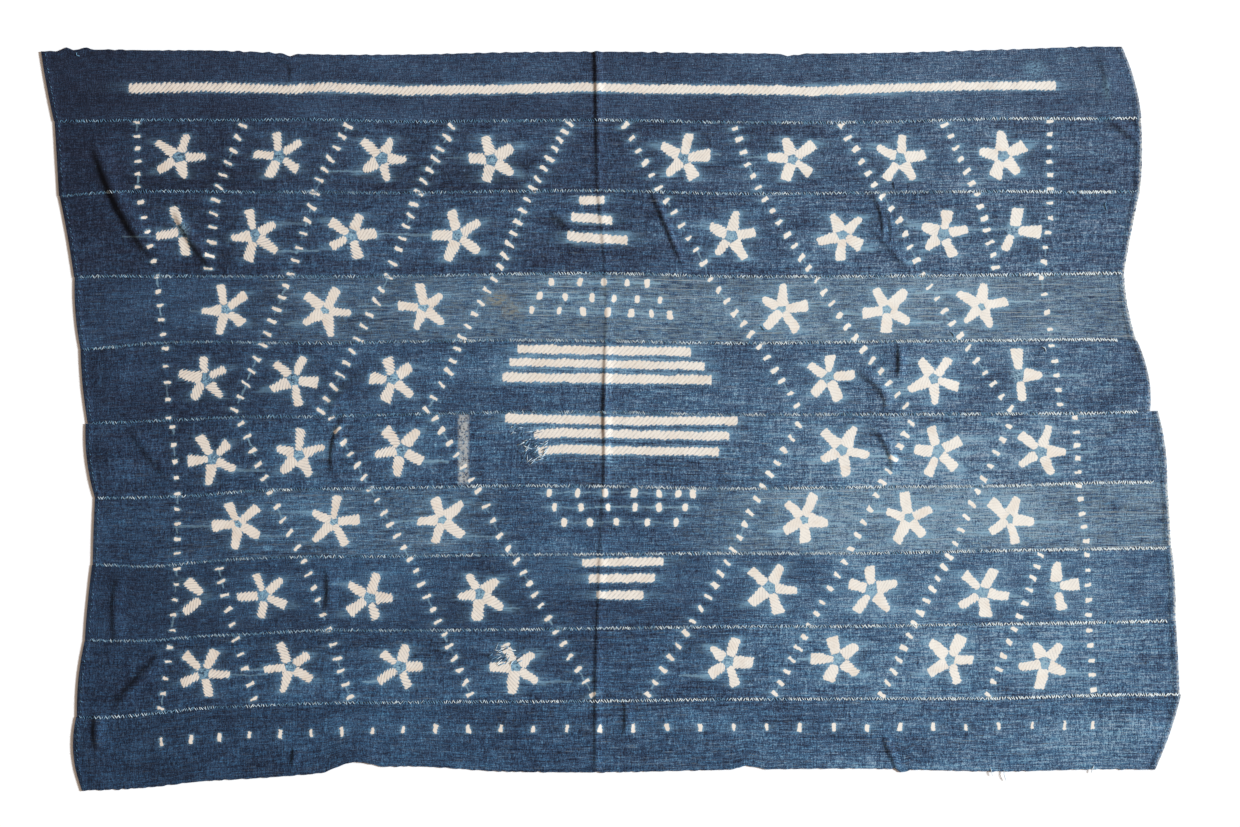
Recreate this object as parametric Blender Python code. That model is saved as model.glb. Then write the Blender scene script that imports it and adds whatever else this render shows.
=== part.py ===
"""Resist-dyed indigo wrapper cloth, laid flat, in metres with +Z up.

Ten narrow handwoven strips run from left to right (X) and are sewn edge to edge, strip 1 at the back (+Y) and
strip 10 at the front. Each strip is a thin closed sheet with a turned hem at both ends. It lies on the surface
and rises a few millimetres along its creases and swells. The origin is under the middle of the cloth.
"""

import math

import bmesh
import bpy
import numpy as np

# Driving dimensions, in millimetres
MM = 0.001
SHEET = 1.5
SEAM_GAP = 0.3
HEM_WIDTH = 7.0
HEM_EXTRA = 1.1
HEM_SLOPE = 3.0
END_REACH = 150.0

# How finely each sheet is divided
FACES_ACROSS = 4
SECTION_PITCH = 40.0
SECTION_REACH = 800.0
CREASE_PITCH = 10.0
CREASE_SAMPLES = 9
WAVE_SAMPLES = 9
END_CLEAR = 16.0
SHARP_ANGLE = math.radians(40.0)

# The long edges, one row for each section from left to right
# x, y of the top edge, y of seams 1 to 9, y of the bottom edge
SECTIONS = (
    (-800, 509, 412, 305, 192, 93, -10, -111, -204, -307, -411, -517),
    (-710, 512, 413, 313, 197, 97, -7, -111, -204, -309, -416, -517),
    (-640, 511, 414, 315, 197, 104, -4, -110, -206, -309, -411, -513),
    (-570, 511, 414, 315, 197, 106, -1, -107, -200, -303, -403, -505),
    (-500, 509, 414, 314, 197, 105, 2, -101, -195, -300, -400, -501),
    (-430, 506, 415, 314, 197, 104, 2, -99, -193, -296, -397, -496),
    (-290, 505, 412, 313, 197, 106, 5, -97, -192, -295, -395, -484),
    (-150, 508, 413, 315, 200, 108, 8, -94, -190, -294, -394, -491),
    (0, 509, 414, 316, 201, 107, 8, -95, -189, -292, -393, -492),
    (150, 507, 411, 312, 197, 104, 5, -98, -188, -290, -391, -489),
    (350, 507, 411, 313, 197, 106, 5, -96, -188, -289, -390, -487),
    (550, 512, 416, 315, 199, 108, 6, -94, -184, -286, -389, -491),
    (680, 516, 416, 314, 201, 109, 7, -90, -182, -284, -385, -488),
    (800, 513, 418, 318, 203, 105, 12, -89, -180, -281, -384, -489),
)
X_COLUMN = 0
TOP_LINE = 0
BOTTOM_LINE = 10
STRIPS = 10

# Bulges (+Y) and dents (-Y) of the two outer edges: line, x, reach to each side, rise
EDGE_WAVES = (
    (TOP_LINE, -446, 18, -3),
    (TOP_LINE, 249, 25, -3),
    (BOTTOM_LINE, -358, 50, 10.5),
    (BOTTOM_LINE, 190, 28, 5),
    (BOTTOM_LINE, 406, 14, -4),
)

# The short ends, one row for each strip
# x of the left end at the strip's upper edge, middle and lower edge, then the same of the right end
ENDS = (
    (-792, -784, -774, 710, 728, 737),
    (-773, -770, -767, 736, 738, 735),
    (-766, -755, -746, 735, 723, 713),
    (-745, -744, -737, 713, 718, 730),
    (-737, -734, -727, 731, 747, 749),
    (-730, -728, -717, 760, 770, 773),
    (-717, -719, -720, 773, 776, 778),
    (-721, -727, -731, 779, 784, 784),
    (-731, -740, -742, 785, 788, 790),
    (-743, -747, -735, 792, 777, 756),
)

# Creases, soft ridges that rise to both sides of a bent line: x and y of its start, middle and end,
# half of the width, height
CREASES = (
    (-22, 515, -18, 317, -6, 60, 14, 3.0),
    (-6, 60, -12, -180, -19, -489, 14, 3.0),
    (-714, 372, -682, 296, -641, 227, 22, 6.0),
    (-599, 282, -585, 254, -560, 217, 16, 4.0),
    (51, 317, 75, 268, 100, 222, 18, 5.0),
    (-85, 289, -71, 276, -57, 264, 14, 3.0),
    (353, 303, 382, 247, 413, 199, 18, 5.0),
    (400, 101, 401, 80, 400, 60, 12, 3.0),
    (346, 60, 377, 26, 379, 11, 14, 4.0),
    (364, -17, 384, -44, 391, -70, 14, 4.0),
    (-386, 8, -372, 35, -339, 56, 14, 4.0),
    (-370, 0, -384, -31, -386, -72, 14, 3.0),
    (-460, 498, -442, 484, -449, 463, 14, 3.0),
    (-669, -10, -641, -51, -606, -86, 22, 3.0),
    (-685, -225, -688, -267, -685, -309, 18, 3.0),
    (-395, -211, -394, -239, -395, -267, 16, 3.0),
    (-627, -329, -657, -364, -689, -399, 20, 3.5),
    (-714, -413, -715, -434, -714, -455, 16, 3.0),
    (-439, -461, -441, -472, -443, -482, 12, 3.0),
    (381, -448, 390, -470, 398, -489, 12, 3.0),
    (680, 505, 688, 473, 694, 442, 18, 4.0),
    (691, 411, 714, 395, 735, 379, 14, 3.5),
    (680, -31, 714, -12, 749, 4, 16, 4.0),
    (19, -392, 20, -413, 19, -434, 12, 2.0),
)

# Swells, low rounded places where the cloth stands off the surface: x, y, reach along X, reach along Y, height
SWELLS = (
    (-560, 440, 120, 50, 1.5),
    (-640, 250, 80, 90, 2.0),
    (-690, 60, 50, 60, 2.0),
    (-700, -60, 60, 70, 2.5),
    (-730, -450, 50, 60, 3.0),
    (-590, -470, 90, 40, 2.5),
    (-360, -465, 50, 30, 3.0),
    (-350, -40, 60, 90, 1.5),
    (-100, 330, 90, 60, 1.5),
    (80, 240, 70, 70, 1.5),
    (250, -470, 120, 30, 1.5),
    (420, 60, 80, 90, 2.0),
    (700, 470, 60, 60, 2.5),
    (720, 200, 50, 80, 2.0),
    (730, 40, 60, 50, 3.0),
    (730, -440, 60, 60, 2.5),
)

# Dyed cotton, one row for each strip: red, green and blue of its blue, from strip 1 to strip 10
DYE = (
    (0.030, 0.070, 0.165),
    (0.036, 0.086, 0.190),
    (0.034, 0.080, 0.182),
    (0.062, 0.132, 0.240),
    (0.030, 0.074, 0.172),
    (0.034, 0.084, 0.186),
    (0.060, 0.135, 0.245),
    (0.036, 0.088, 0.192),
    (0.034, 0.084, 0.186),
    (0.036, 0.090, 0.196),
)
COTTON_ROUGHNESS = 0.92
CLOTH_NAME = "resist_dyed_strip_cloth"


def bump(distance):
    """A rounded bump of height 1 at distance 0, which ends level at distance 1."""
    return 0.5 + 0.5 * np.cos(math.pi * np.clip(distance, 0.0, 1.0))


def shared_sections():
    """The x of the sections at which every strip is divided."""
    return np.arange(-SECTION_REACH, SECTION_REACH + 1, SECTION_PITCH)


def smooth_line(line, x):
    """The y of an edge or seam at x: a curve through the sections, with the slopes of its neighbours."""
    table = np.array(SECTIONS, dtype=float)
    stations = table[:, X_COLUMN]
    heights = table[:, line + 1]
    slopes = np.gradient(heights, stations)
    span = np.clip(np.searchsorted(stations, x) - 1, 0, len(stations) - 2)
    width = stations[span + 1] - stations[span]
    t = (x - stations[span]) / width
    start = (1 + 2 * t) * (1 - t) ** 2 * heights[span] + t * (1 - t) ** 2 * width * slopes[span]
    end = t * t * (3 - 2 * t) * heights[span + 1] + t * t * (t - 1) * width * slopes[span + 1]
    return start + end


def line_y(line, x):
    """The y of an edge or seam at x. A seam is straight between sections that both its strips share."""
    if TOP_LINE < line < BOTTOM_LINE:
        shared = shared_sections()
        return np.interp(x, shared, smooth_line(line, shared))
    y = smooth_line(line, x)
    for wave_line, centre, reach, rise in EDGE_WAVES:
        if wave_line == line:
            y = y + rise * bump(np.abs(x - centre) / reach)
    return y


def end_x(strip, side, across):
    """The x of a strip's left (side 0) or right (side 1) end, a bow through its three known places."""
    upper, middle, lower = ENDS[strip][3 * side:3 * side + 3]
    bow = 4 * (middle - (upper + lower) / 2) * across * (1 - across)
    return upper + (lower - upper) * across + bow


def distance_to_run(x, y, start, end):
    """How far points lie from a straight run."""
    run = np.subtract(end, start)
    along = ((x - start[0]) * run[0] + (y - start[1]) * run[1]) / run.dot(run)
    along = np.clip(along, 0.0, 1.0)
    return np.hypot(x - start[0] - along * run[0], y - start[1] - along * run[1])


def relief(x, y):
    """How far the underside of the cloth stands off the surface at x, y: the highest crease there, and the swells."""
    height = np.zeros_like(x)
    for x0, y0, x1, y1, x2, y2, half_width, rise in CREASES:
        first = distance_to_run(x, y, (x0, y0), (x1, y1))
        second = distance_to_run(x, y, (x1, y1), (x2, y2))
        height = np.maximum(height, rise * bump(np.minimum(first, second) / half_width))
    for centre_x, centre_y, reach_x, reach_y, rise in SWELLS:
        height += rise * bump(np.hypot((x - centre_x) / reach_x, (y - centre_y) / reach_y))
    return height


def crease_span(crease, high, low):
    """The range of x that a crease covers between two heights, its width included, or nothing where it passes by."""
    x0, y0, x1, y1, x2, y2, half_width, _ = crease
    if min(y0, y2) - half_width > high or max(y0, y2) + half_width < low:
        return None
    points = sorted(((y0, x0), (y1, x1), (y2, x2)))
    heights = [y for y, _ in points]
    places = np.interp(np.linspace(low, high, CREASE_SAMPLES), heights, [x for _, x in points])
    return places.min() - half_width, places.max() + half_width


def strip_stations(strip):
    """Where a strip is divided along its length: at the shared sections, finely over its creases, and at its hems."""
    left = end_x(strip, 0, np.array([0.0, 0.5, 1.0])).mean()
    right = end_x(strip, 1, np.array([0.0, 0.5, 1.0])).mean()
    places = list(shared_sections())
    middle = (left + right) / 2
    high = line_y(strip, np.array([middle]))[0]
    low = line_y(strip + 1, np.array([middle]))[0]
    for crease in CREASES:
        span = crease_span(crease, high, low)
        if span:
            places += list(np.arange(span[0], span[1], CREASE_PITCH))
    for line, centre, reach, _ in EDGE_WAVES:
        if line in (strip, strip + 1):
            places += list(np.linspace(centre - reach, centre + reach, WAVE_SAMPLES))
    inner = sorted(place for place in places if left + END_CLEAR < place < right - END_CLEAR)
    kept = [inner[0]]
    for place in inner[1:]:
        on_section = abs(place / SECTION_PITCH - round(place / SECTION_PITCH)) < 1e-6
        if on_section and place - kept[-1] < CREASE_PITCH / 2 and len(kept) > 1:
            kept[-1] = place
        elif place - kept[-1] >= CREASE_PITCH / 2:
            kept.append(place)
    hem = (0.0, HEM_WIDTH, HEM_WIDTH + HEM_SLOPE)
    return np.array([left + step for step in hem] + kept + [right - step for step in reversed(hem)])


def strip_points(strip, stations, across):
    """The x and y of a strip's underside for each station (rows of the result) and each share across it."""
    station = stations[:, None]
    share = across[None, :]
    left, right = stations[0], stations[-1]
    left_hold = bump((station - left) / END_REACH)
    right_hold = bump((right - station) / END_REACH)
    x = station + (end_x(strip, 0, share) - left) * left_hold + (end_x(strip, 1, share) - right) * right_hold
    high = line_y(strip, x) - (SEAM_GAP / 2 if strip > 0 else 0.0)
    low = line_y(strip + 1, x) + (SEAM_GAP / 2 if strip < STRIPS - 1 else 0.0)
    return x, high + (low - high) * share


def thickness(stations):
    """How thick the sheet is at each station: the turned hems are thicker."""
    from_end = np.minimum(stations - stations[0], stations[-1] - stations)
    return SHEET + HEM_EXTRA * np.clip(1 - (from_end - HEM_WIDTH) / HEM_SLOPE, 0.0, 1.0)


def cloth_centre():
    """The middle of the cloth's outline, where the origin goes."""
    reach_x = [value for row in ENDS for value in row]
    x = np.linspace(min(reach_x), max(reach_x), 400)
    top = line_y(TOP_LINE, x[(x > ENDS[0][0]) & (x < ENDS[0][3])])
    bottom = line_y(BOTTOM_LINE, x[(x > ENDS[-1][2]) & (x < ENDS[-1][5])])
    return (min(reach_x) + max(reach_x)) / 2, (top.max() + bottom.min()) / 2


def dyed_cotton(name, colour):
    """Matt cotton of one strip's blue."""
    material = bpy.data.materials.new(name)
    material.use_nodes = True
    shader = material.node_tree.nodes["Principled BSDF"]
    shader.inputs["Base Color"].default_value = (*colour, 1.0)
    shader.inputs["Roughness"].default_value = COTTON_ROUGHNESS
    shader.inputs["Metallic"].default_value = 0.0
    material.diffuse_color = (*colour, 1.0)
    return material


def make_strip(strip, centre, collection):
    """One strip: a grid shaped to its underside, then extruded up by the thickness of its cloth."""
    stations = strip_stations(strip)
    across = np.linspace(0.0, 1.0, FACES_ACROSS + 1)
    x, y = strip_points(strip, stations, across)
    z = relief(x, y)
    depth = thickness(stations)

    sheet = bmesh.new()
    bmesh.ops.create_grid(sheet, x_segments=len(stations) - 1, y_segments=FACES_ACROSS, size=1.0)
    station_of = sheet.verts.layers.int.new("station")
    for vertex in sheet.verts:
        column = round((vertex.co.x + 1) / 2 * (len(stations) - 1))
        row = round((1 - vertex.co.y) / 2 * FACES_ACROSS)
        place = (x[column, row] - centre[0], y[column, row] - centre[1], z[column, row])
        vertex.co = [MM * value for value in place]
        vertex[station_of] = column
    raised = bmesh.ops.extrude_face_region(sheet, geom=sheet.faces[:], use_keep_orig=True)
    for item in raised["geom"]:
        if isinstance(item, bmesh.types.BMVert):
            item.co.z += MM * depth[item[station_of]]
    bmesh.ops.recalc_face_normals(sheet, faces=sheet.faces[:])

    name = f"strip_{strip + 1:02d}"
    mesh = bpy.data.meshes.new(name)
    sheet.to_mesh(mesh)
    sheet.free()
    mesh.materials.append(dyed_cotton(f"{name}_cotton", DYE[strip]))
    mesh.shade_smooth()
    mesh.set_sharp_from_angle(angle=SHARP_ANGLE)
    collection.objects.link(bpy.data.objects.new(name, mesh))


def main():
    for item in list(bpy.data.objects):
        bpy.data.objects.remove(item, do_unlink=True)
    cloth = bpy.data.collections.new(CLOTH_NAME)
    bpy.context.scene.collection.children.link(cloth)
    centre = cloth_centre()
    for strip in range(STRIPS):
        make_strip(strip, centre, cloth)


main()
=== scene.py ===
"""Looks of the resist-dyed indigo strip cloth: ten fine sheets with their figures, the sewing that
joins them, darning and loose ends, on a pale floor under the photograph's soft light from the right.
"""

import math

import bmesh
import bpy
import numpy as np
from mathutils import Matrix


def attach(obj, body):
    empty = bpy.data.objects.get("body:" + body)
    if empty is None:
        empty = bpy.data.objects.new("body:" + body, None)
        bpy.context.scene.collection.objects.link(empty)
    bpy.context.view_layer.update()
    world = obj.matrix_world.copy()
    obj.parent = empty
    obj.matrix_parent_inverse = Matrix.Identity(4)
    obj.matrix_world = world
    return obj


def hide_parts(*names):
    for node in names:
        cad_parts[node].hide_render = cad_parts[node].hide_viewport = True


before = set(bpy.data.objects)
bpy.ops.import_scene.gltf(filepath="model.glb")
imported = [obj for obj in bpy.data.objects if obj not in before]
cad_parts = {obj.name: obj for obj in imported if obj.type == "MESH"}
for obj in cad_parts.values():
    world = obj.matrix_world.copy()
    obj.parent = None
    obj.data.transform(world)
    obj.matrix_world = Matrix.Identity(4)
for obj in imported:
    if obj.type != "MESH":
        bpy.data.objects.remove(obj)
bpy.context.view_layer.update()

MM = 0.001
SEED = 7

# The cloth's form, in millimetres, as the solids have it
SHEET = 1.5
SEAM_GAP = 0.3
HEM_WIDTH = 7.0
HEM_EXTRA = 1.1
HEM_SLOPE = 3.0
END_REACH = 150.0
STRIPS = 10
STRIP_WIDTH = 103.0

# How finely each sheet is divided, and how its long edges are rounded
COLUMN_PITCH = 4.5
CREASE_PITCH = 1.5
ROW_PITCH = 3.2
EDGE_STEPS = (0.0, 0.6, 1.5, 2.8)
EDGE_DROP = 0.45
RAGGED = 0.7

# The long edges, one row for each section from left to right
# x, y of the top edge, y of seams 1 to 9, y of the bottom edge
SECTIONS = (
    (-800, 509, 412, 305, 192, 93, -10, -111, -204, -307, -411, -517),
    (-710, 512, 413, 313, 197, 97, -7, -111, -204, -309, -416, -517),
    (-640, 511, 414, 315, 197, 104, -4, -110, -206, -309, -411, -513),
    (-570, 511, 414, 315, 197, 106, -1, -107, -200, -303, -403, -505),
    (-500, 509, 414, 314, 197, 105, 2, -101, -195, -300, -400, -501),
    (-430, 506, 415, 314, 197, 104, 2, -99, -193, -296, -397, -496),
    (-290, 505, 412, 313, 197, 106, 5, -97, -192, -295, -395, -484),
    (-150, 508, 413, 315, 200, 108, 8, -94, -190, -294, -394, -491),
    (0, 509, 414, 316, 201, 107, 8, -95, -189, -292, -393, -492),
    (150, 507, 411, 312, 197, 104, 5, -98, -188, -290, -391, -489),
    (350, 507, 411, 313, 197, 106, 5, -96, -188, -289, -390, -487),
    (550, 512, 416, 315, 199, 108, 6, -94, -184, -286, -389, -491),
    (680, 516, 416, 314, 201, 109, 7, -90, -182, -284, -385, -488),
    (800, 513, 418, 318, 203, 105, 12, -89, -180, -281, -384, -489),
)
TOP_LINE = 0
BOTTOM_LINE = 10

# Bulges (+Y) and dents (-Y) of the two outer edges: line, x, reach to each side, rise
EDGE_WAVES = (
    (TOP_LINE, -756, 9, 5),
    (TOP_LINE, -731, 10, 4),
    (TOP_LINE, -446, 18, -3),
    (TOP_LINE, 249, 25, -3),
    (BOTTOM_LINE, -358, 50, 10.5),
    (BOTTOM_LINE, 190, 28, 5),
    (BOTTOM_LINE, 406, 14, -4),
)

# The short ends, one row for each strip
# x of the left end at the strip's upper edge, middle and lower edge, then the same of the right end
ENDS = (
    (-792, -784, -774, 710, 728, 737),
    (-773, -770, -767, 736, 738, 735),
    (-766, -755, -746, 735, 723, 713),
    (-745, -744, -737, 713, 718, 730),
    (-737, -734, -727, 731, 747, 749),
    (-730, -728, -717, 760, 770, 773),
    (-717, -719, -720, 773, 776, 778),
    (-721, -727, -731, 779, 784, 784),
    (-731, -740, -742, 785, 788, 790),
    (-743, -747, -735, 792, 777, 756),
)

# The fold down the middle: x, y, height, how dark the painted shade on its left side is, how strong the
# painted light on its right side is
CENTRE_FOLD = (
    (-22, 530, 2.6, 0.7, 0.1),
    (-20, 480, 2.6, 0.8, 0.1),
    (-19, 410, 2.2, 0.6, 0.1),
    (-18, 330, 1.3, 0.35, 0.1),
    (-13, 277, 1.2, 0.25, 0.5),
    (-7, 215, 0.9, 0.2, 0.3),
    (-5, 150, 0.9, 0.15, 0.15),
    (-7, 90, 1.6, 0.45, 0.3),
    (-9, 15, 2.8, 1.0, 0.3),
    (-8, -40, 2.2, 0.6, 0.8),
    (-9, -90, 1.4, 0.3, 0.3),
    (-12, -150, 0.9, 0.15, 0.1),
    (-16, -240, 1.4, 0.3, 0.2),
    (-20, -335, 1.8, 0.4, 0.1),
    (-21, -425, 2.0, 0.5, 0.0),
    (-21, -500, 1.0, 0.0, 0.0),
)
FOLD_REACH = 12.0
# Creases, soft ridges along a curve: x and y of its start, middle and end, half of the width, height,
# and how strong the painted shade on its left side and the painted light on its right side are
CREASES = (
    (-719, 385, -681, 292, -632, 220, 24, 5.5, 0.72),
    (-606, 288, -588, 254, -553, 206, 16, 4.0, 0.7),
    (52, 325, 77, 266, 102, 205, 10, 2.6, 0.6),
    (-85, 289, -71, 276, -52, 258, 14, 2.5, 0.35),
    (350, 322, 374, 290, 377, 236, 9, 1.8, 0.5),
    (370, 300, 386, 280, 388, 240, 7, 1.4, 0.5),
    (362, 262, 396, 226, 424, 196, 10, 1.8, 0.35),
    (400, 106, 401, 80, 400, 54, 12, 2.5, 0.5),
    (340, 68, 377, 36, 380, 6, 14, 2.6, 0.35),
    (360, -10, 384, -40, 393, -78, 14, 2.4, 0.35),
    (-392, 2, -372, 35, -332, 62, 14, 3.0, 0.35),
    (-366, 8, -384, -31, -388, -80, 14, 2.5, 0.35),
    (-464, 502, -444, 486, -450, 458, 14, 1.5, 0.15),
    (-669, -10, -641, -51, -602, -92, 22, 2.5, 0.2),
    (-683, -215, -690, -267, -685, -317, 18, 2.5, 0.3),
    (-395, -205, -392, -239, -396, -275, 16, 2.5, 0.35),
    (-620, -322, -657, -364, -694, -405, 20, 3.5, 0.5),
    (-713, -407, -716, -434, -713, -462, 16, 3.0, 0.9),
    (-439, -455, -441, -472, -443, -484, 12, 2.5, 0.3),
    (378, -442, 390, -470, 400, -490, 12, 2.5, 0.3),
    (680, 508, 689, 473, 695, 436, 22, 1.6, 0.15),
    (686, 415, 716, 397, 740, 372, 14, 3.0, 0.3),
    (675, -36, 714, -14, 753, 6, 16, 3.0, 0.3),
    (19, -388, 21, -413, 19, -442, 12, 2.0, 0.35),
)
CREASE_STEPS = 7
# A crease's left flank is this share of its half width, so it is steep towards the shade
STEEP_FLANK = 0.42

# Swells, low rounded places where the cloth stands off the surface
# x, y, reach along X, reach along Y, height
SWELLS = (
    (-560, 440, 120, 50, 1.5),
    (-640, 250, 80, 90, 2.0),
    (-690, 60, 50, 60, 2.0),
    (-700, -60, 60, 70, 2.5),
    (-730, -450, 50, 60, 3.0),
    (-590, -470, 90, 40, 2.5),
    (-360, -465, 50, 30, 3.0),
    (-350, -40, 60, 90, 1.5),
    (-100, 330, 90, 60, 1.5),
    (80, 240, 70, 70, 1.5),
    (250, -470, 120, 30, 1.5),
    (420, 60, 80, 90, 2.0),
    (700, 470, 60, 60, 2.5),
    (720, 200, 50, 80, 2.0),
    (730, 40, 60, 50, 3.0),
    (730, -440, 60, 60, 2.5),
)

# Five-armed stars: x, y, degrees from +X to an arm
STARS = (
    (-600, 363, -1), (-461, 364, 30), (-318, 361, -5), (-165, 359, 32),
    (101, 361, 5), (253, 360, 35), (403, 360, 10), (545, 363, 28),
    (-495, 253, 35), (-361, 254, 0), (-213, 253, 33),
    (167, 252, 11), (321, 254, 48), (461, 256, 10),
    (-536, 150, 35), (-397, 149, -5), (-260, 153, 33),
    (238, 151, 11), (384, 150, 49), (514, 156, 12),
    (-564, 54, 28), (-441, 53, -7), (-303, 53, 36), (302, 56, 8), (448, 54, 53),
    (-553, -57, 44), (-434, -51, 14), (-293, -44, 50),
    (322, -44, -8), (454, -46, 30), (598, -46, 0),
    (-518, -147, 42), (-386, -145, 12), (-235, -142, 41),
    (267, -140, -6), (414, -140, 24), (553, -140, -5),
    (-482, -247, 44), (-336, -249, 3), (-182, -245, 43),
    (221, -236, -3), (363, -239, 21), (516, -242, -7),
    (-566, -354, -8), (-446, -346, 38), (-293, -346, 1), (-133, -346, 41),
    (163, -339, -3), (315, -335, 32), (471, -336, -3), (603, -341, 46),
)
STAR_ARMS = 5
ARM_START = 7.8
ARM_END = 35.0
ARM_HALF = 6.6
RIB_PITCH = 6.6
# A star arm has closer ribs than a bar, by this share
FINER_RIBS = 0.3
SKEW = 0.45
PALE_STRIPS = (3, 6)
# Bleeding beside each kind of figure: strength, reach of its bright part, reach of its faint tail
BLEED_OF = {
    "bar": (0.95, 9.0, 34.0),
    "arm": (0.90, 4.5, 20.0),
    "dot": (0.85, 4.0, 16.0),
    "dash": (0.80, 3.0, 11.0),
}
# How strong the bleeding is along X
BLEED_PLACES = (-600, -100, 300)
BLEED_SHARES = (0.40, 0.85, 1.0)

# Stars of which only some arms were sewn: x, y, and the degrees of each arm
PART_STARS = (
    (-596, 260, (114, 187, 282)),
    (560, 261, (79, -5, 249)),
    (567, 60, (92, 0, 280)),
    (-564, -247, (146, 220)),
    (618, -234, (85, 2, 281)),
)

# Lines of short dashes, each laid across its line
# half of a dash's length, its lean in degrees, then x, y and the number of dashes from there on
DASH_LINES = (
    (4.8, 0, ((-659, 410, 5), (-657, 321, 6), (-631, 196, 5), (-620, 96, 4), (-614, 1, 1))),
    (4.8, 0, ((-609, -13, 4), (-602, -106, 5), (-603, -209, 5), (-612, -318, 4), (-626, -405, 1))),
    (6.8, -8, ((-512, 406, 5), (-545, 320, 1), (-550, 303, 5), (-559, 207, 1))),
    (6.4, 8, ((-545, -209, 2), (-537, -247, 3), (-521, -307, 4), (-496, -391, 1))),
    (7.0, -8, ((-366, 406, 5), (-405, 331, 7), (-445, 200, 6), (-484, 101, 5), (-523, 11, 1))),
    (6.2, 8, ((-514, -8, 5), (-474, -103, 5), (-427, -199, 3), (-407, -253, 4), (-380, -334, 3),
              (-363, -388, 1))),
    (7.4, -8, ((-221, 405, 6), (-268, 313, 5), (-295, 234, 2), (-310, 196, 6), (-360, 92, 5), (-403, 10, 1))),
    (6.2, 8, ((-389, 0, 6), (-334, -99, 6), (-279, -196, 6), (-232, -300, 5), (-195, -384, 1))),
    (7.4, -8, ((-57, 410, 3), (-78, 374, 4), (-110, 318, 7), (-154, 210, 6), (-207, 111, 3),
               (-225, 64, 3), (-256, 11, 1))),
    (6.2, 8, ((-245, -1, 6), (-184, -102, 3), (-154, -164, 2), (-131, -199, 4), (-97, -261, 7),
              (-26, -384, 1))),
    (6.2, 8, ((19, 406, 5), (67, 320, 6), (129, 216, 1), (138, 193, 6), (206, 100, 5), (259, 18, 1))),
    (6.2, -8, ((261, -10, 5), (210, -96, 5), (170, -184, 4), (135, -249, 8), (51, -384, 1))),
    (6.0, 8, ((172, 403, 3), (189, 353, 3), (214, 304, 6), (275, 207, 6), (339, 111, 6), (410, 17, 1))),
    (6.2, -8, ((418, -6, 5), (377, -90, 6), (325, -200, 3), (293, -256, 8), (227, -384, 1))),
    (6.0, 8, ((321, 406, 5), (366, 324, 3), (400, 274, 4), (432, 200, 5), (485, 114, 6), (555, 13, 1))),
    (6.2, -8, ((553, -12, 5), (509, -102, 5), (470, -192, 5), (430, -270, 7), (377, -384, 1))),
    (6.0, 8, ((464, 407, 6), (509, 311, 5), (531, 227, 1), (534, 210, 1))),
    (6.2, -8, ((596, -190, 3), (582, -239, 8), (524, -385, 1))),
    (4.8, 0, ((609, 413, 5), (610, 318, 2), (610, 278, 4), (598, 195, 4), (613, 100, 4), (624, 19, 1))),
    (4.8, 0, ((645, 0, 5), (650, -94, 5), (662, -190, 5), (664, -295, 4), (670, -378, 1))),
    (6.2, 0, ((-624, -450, 3), (-503, -441, 5), (-288, -432, 4), (-108, -432, 5), (124, -430, 6),
              (402, -430, 5), (630, -427, 1), (669, -427, 1))),
)
DASH_HALF = 2.4
# How the width of the figures changes along X
DASH_WIDTHS = (0.82, 1.0, 1.10)
ARM_WIDTHS = (0.92, 1.02, 1.07)
LINK_HALF = 1.2
LINK_SHARE = 0.35
LINK_LONGEST = 30.0
LINK_STRENGTH = (0.18, 0.52)
TRACE_ROUND = 0.9
WICK_STRENGTH = (0.15, 0.45)
WICK_SHARES = (0.55, 1.3, 1.6)

# Long ribbed bars, as bent lines of x, y
BARS = (
    ((-669, 458), (-571, 460), (-446, 457), (-391, 460), (-293, 455), (-154, 457), (-29, 460), (54, 457),
     (235, 456), (277, 454), (402, 459), (471, 461), (617, 462)),
    ((-43, 303), (-10, 303)),
    ((-54, 279), (1, 275)),
    ((-60, 253), (22, 247)),
    ((-129, 96), (110, 92)),
    ((-140, 78), (129, 72)),
    ((-150, 57), (139, 53)),
    ((-146, 0), (20, -4), (175, -4)),
    ((-106, -23), (-68, -20), (0, -22), (163, -25)),
    ((-100, -46), (-68, -42.5), (0, -45), (149, -47)),
    ((-39, -201), (72, -199)),
    ((-30, -223), (60, -222)),
    ((-19, -246), (44, -246)),
)
BAR_HALF = 5.7

# Upright dots: x, y
DOTS = (
    (-83, 189), (-43, 189), (-10, 189), (22, 188), (50, 187),
    (-99, 170), (-63, 168), (-26, 167), (4, 166), (36, 165), (68, 164),
    (-110, 150), (-72, 149), (-39, 148), (-4, 147), (28, 146), (56, 145), (82, 143),
    (-86, -104), (-47, -104), (-8, -104), (32, -104), (67, -105), (93, -105), (114, -105),
    (-78, -124), (-42, -124), (-4, -124), (33, -124), (67, -124), (103, -124),
    (-65, -145), (-29, -145), (8, -144), (51, -145), (90, -145),
)
DOT_LONG = 6.0
DOT_HALF = 3.8

# How the blue changes along X: x, place on the colour ramp
TONE_ALONG = ((-800, 0.155), (-710, 0.19), (-590, 0.25), (-384, 0.38), (-133, 0.40), (110, 0.46), (332, 0.60),
              (527, 0.64), (680, 0.57), (800, 0.54))
TONE_OF_STRIP = (-0.065, -0.09, -0.06, 0.03, 0.01, 0.04, 0.06, -0.01, -0.01, -0.04)
STREAKS_OF_STRIP = (0.5, 0.6, 0.6, 1.5, 0.7, 0.8, 1.4, 0.7, 0.7, 0.75)
# How pale each strip's right end is made, a painted highlight where it faces the light
LIT_END_OF_STRIP = (0.6, 1.0, 1.1, 1.0, 0.6, 0.8, 1.3, 1.1, 0.7, 0.6)
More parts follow.
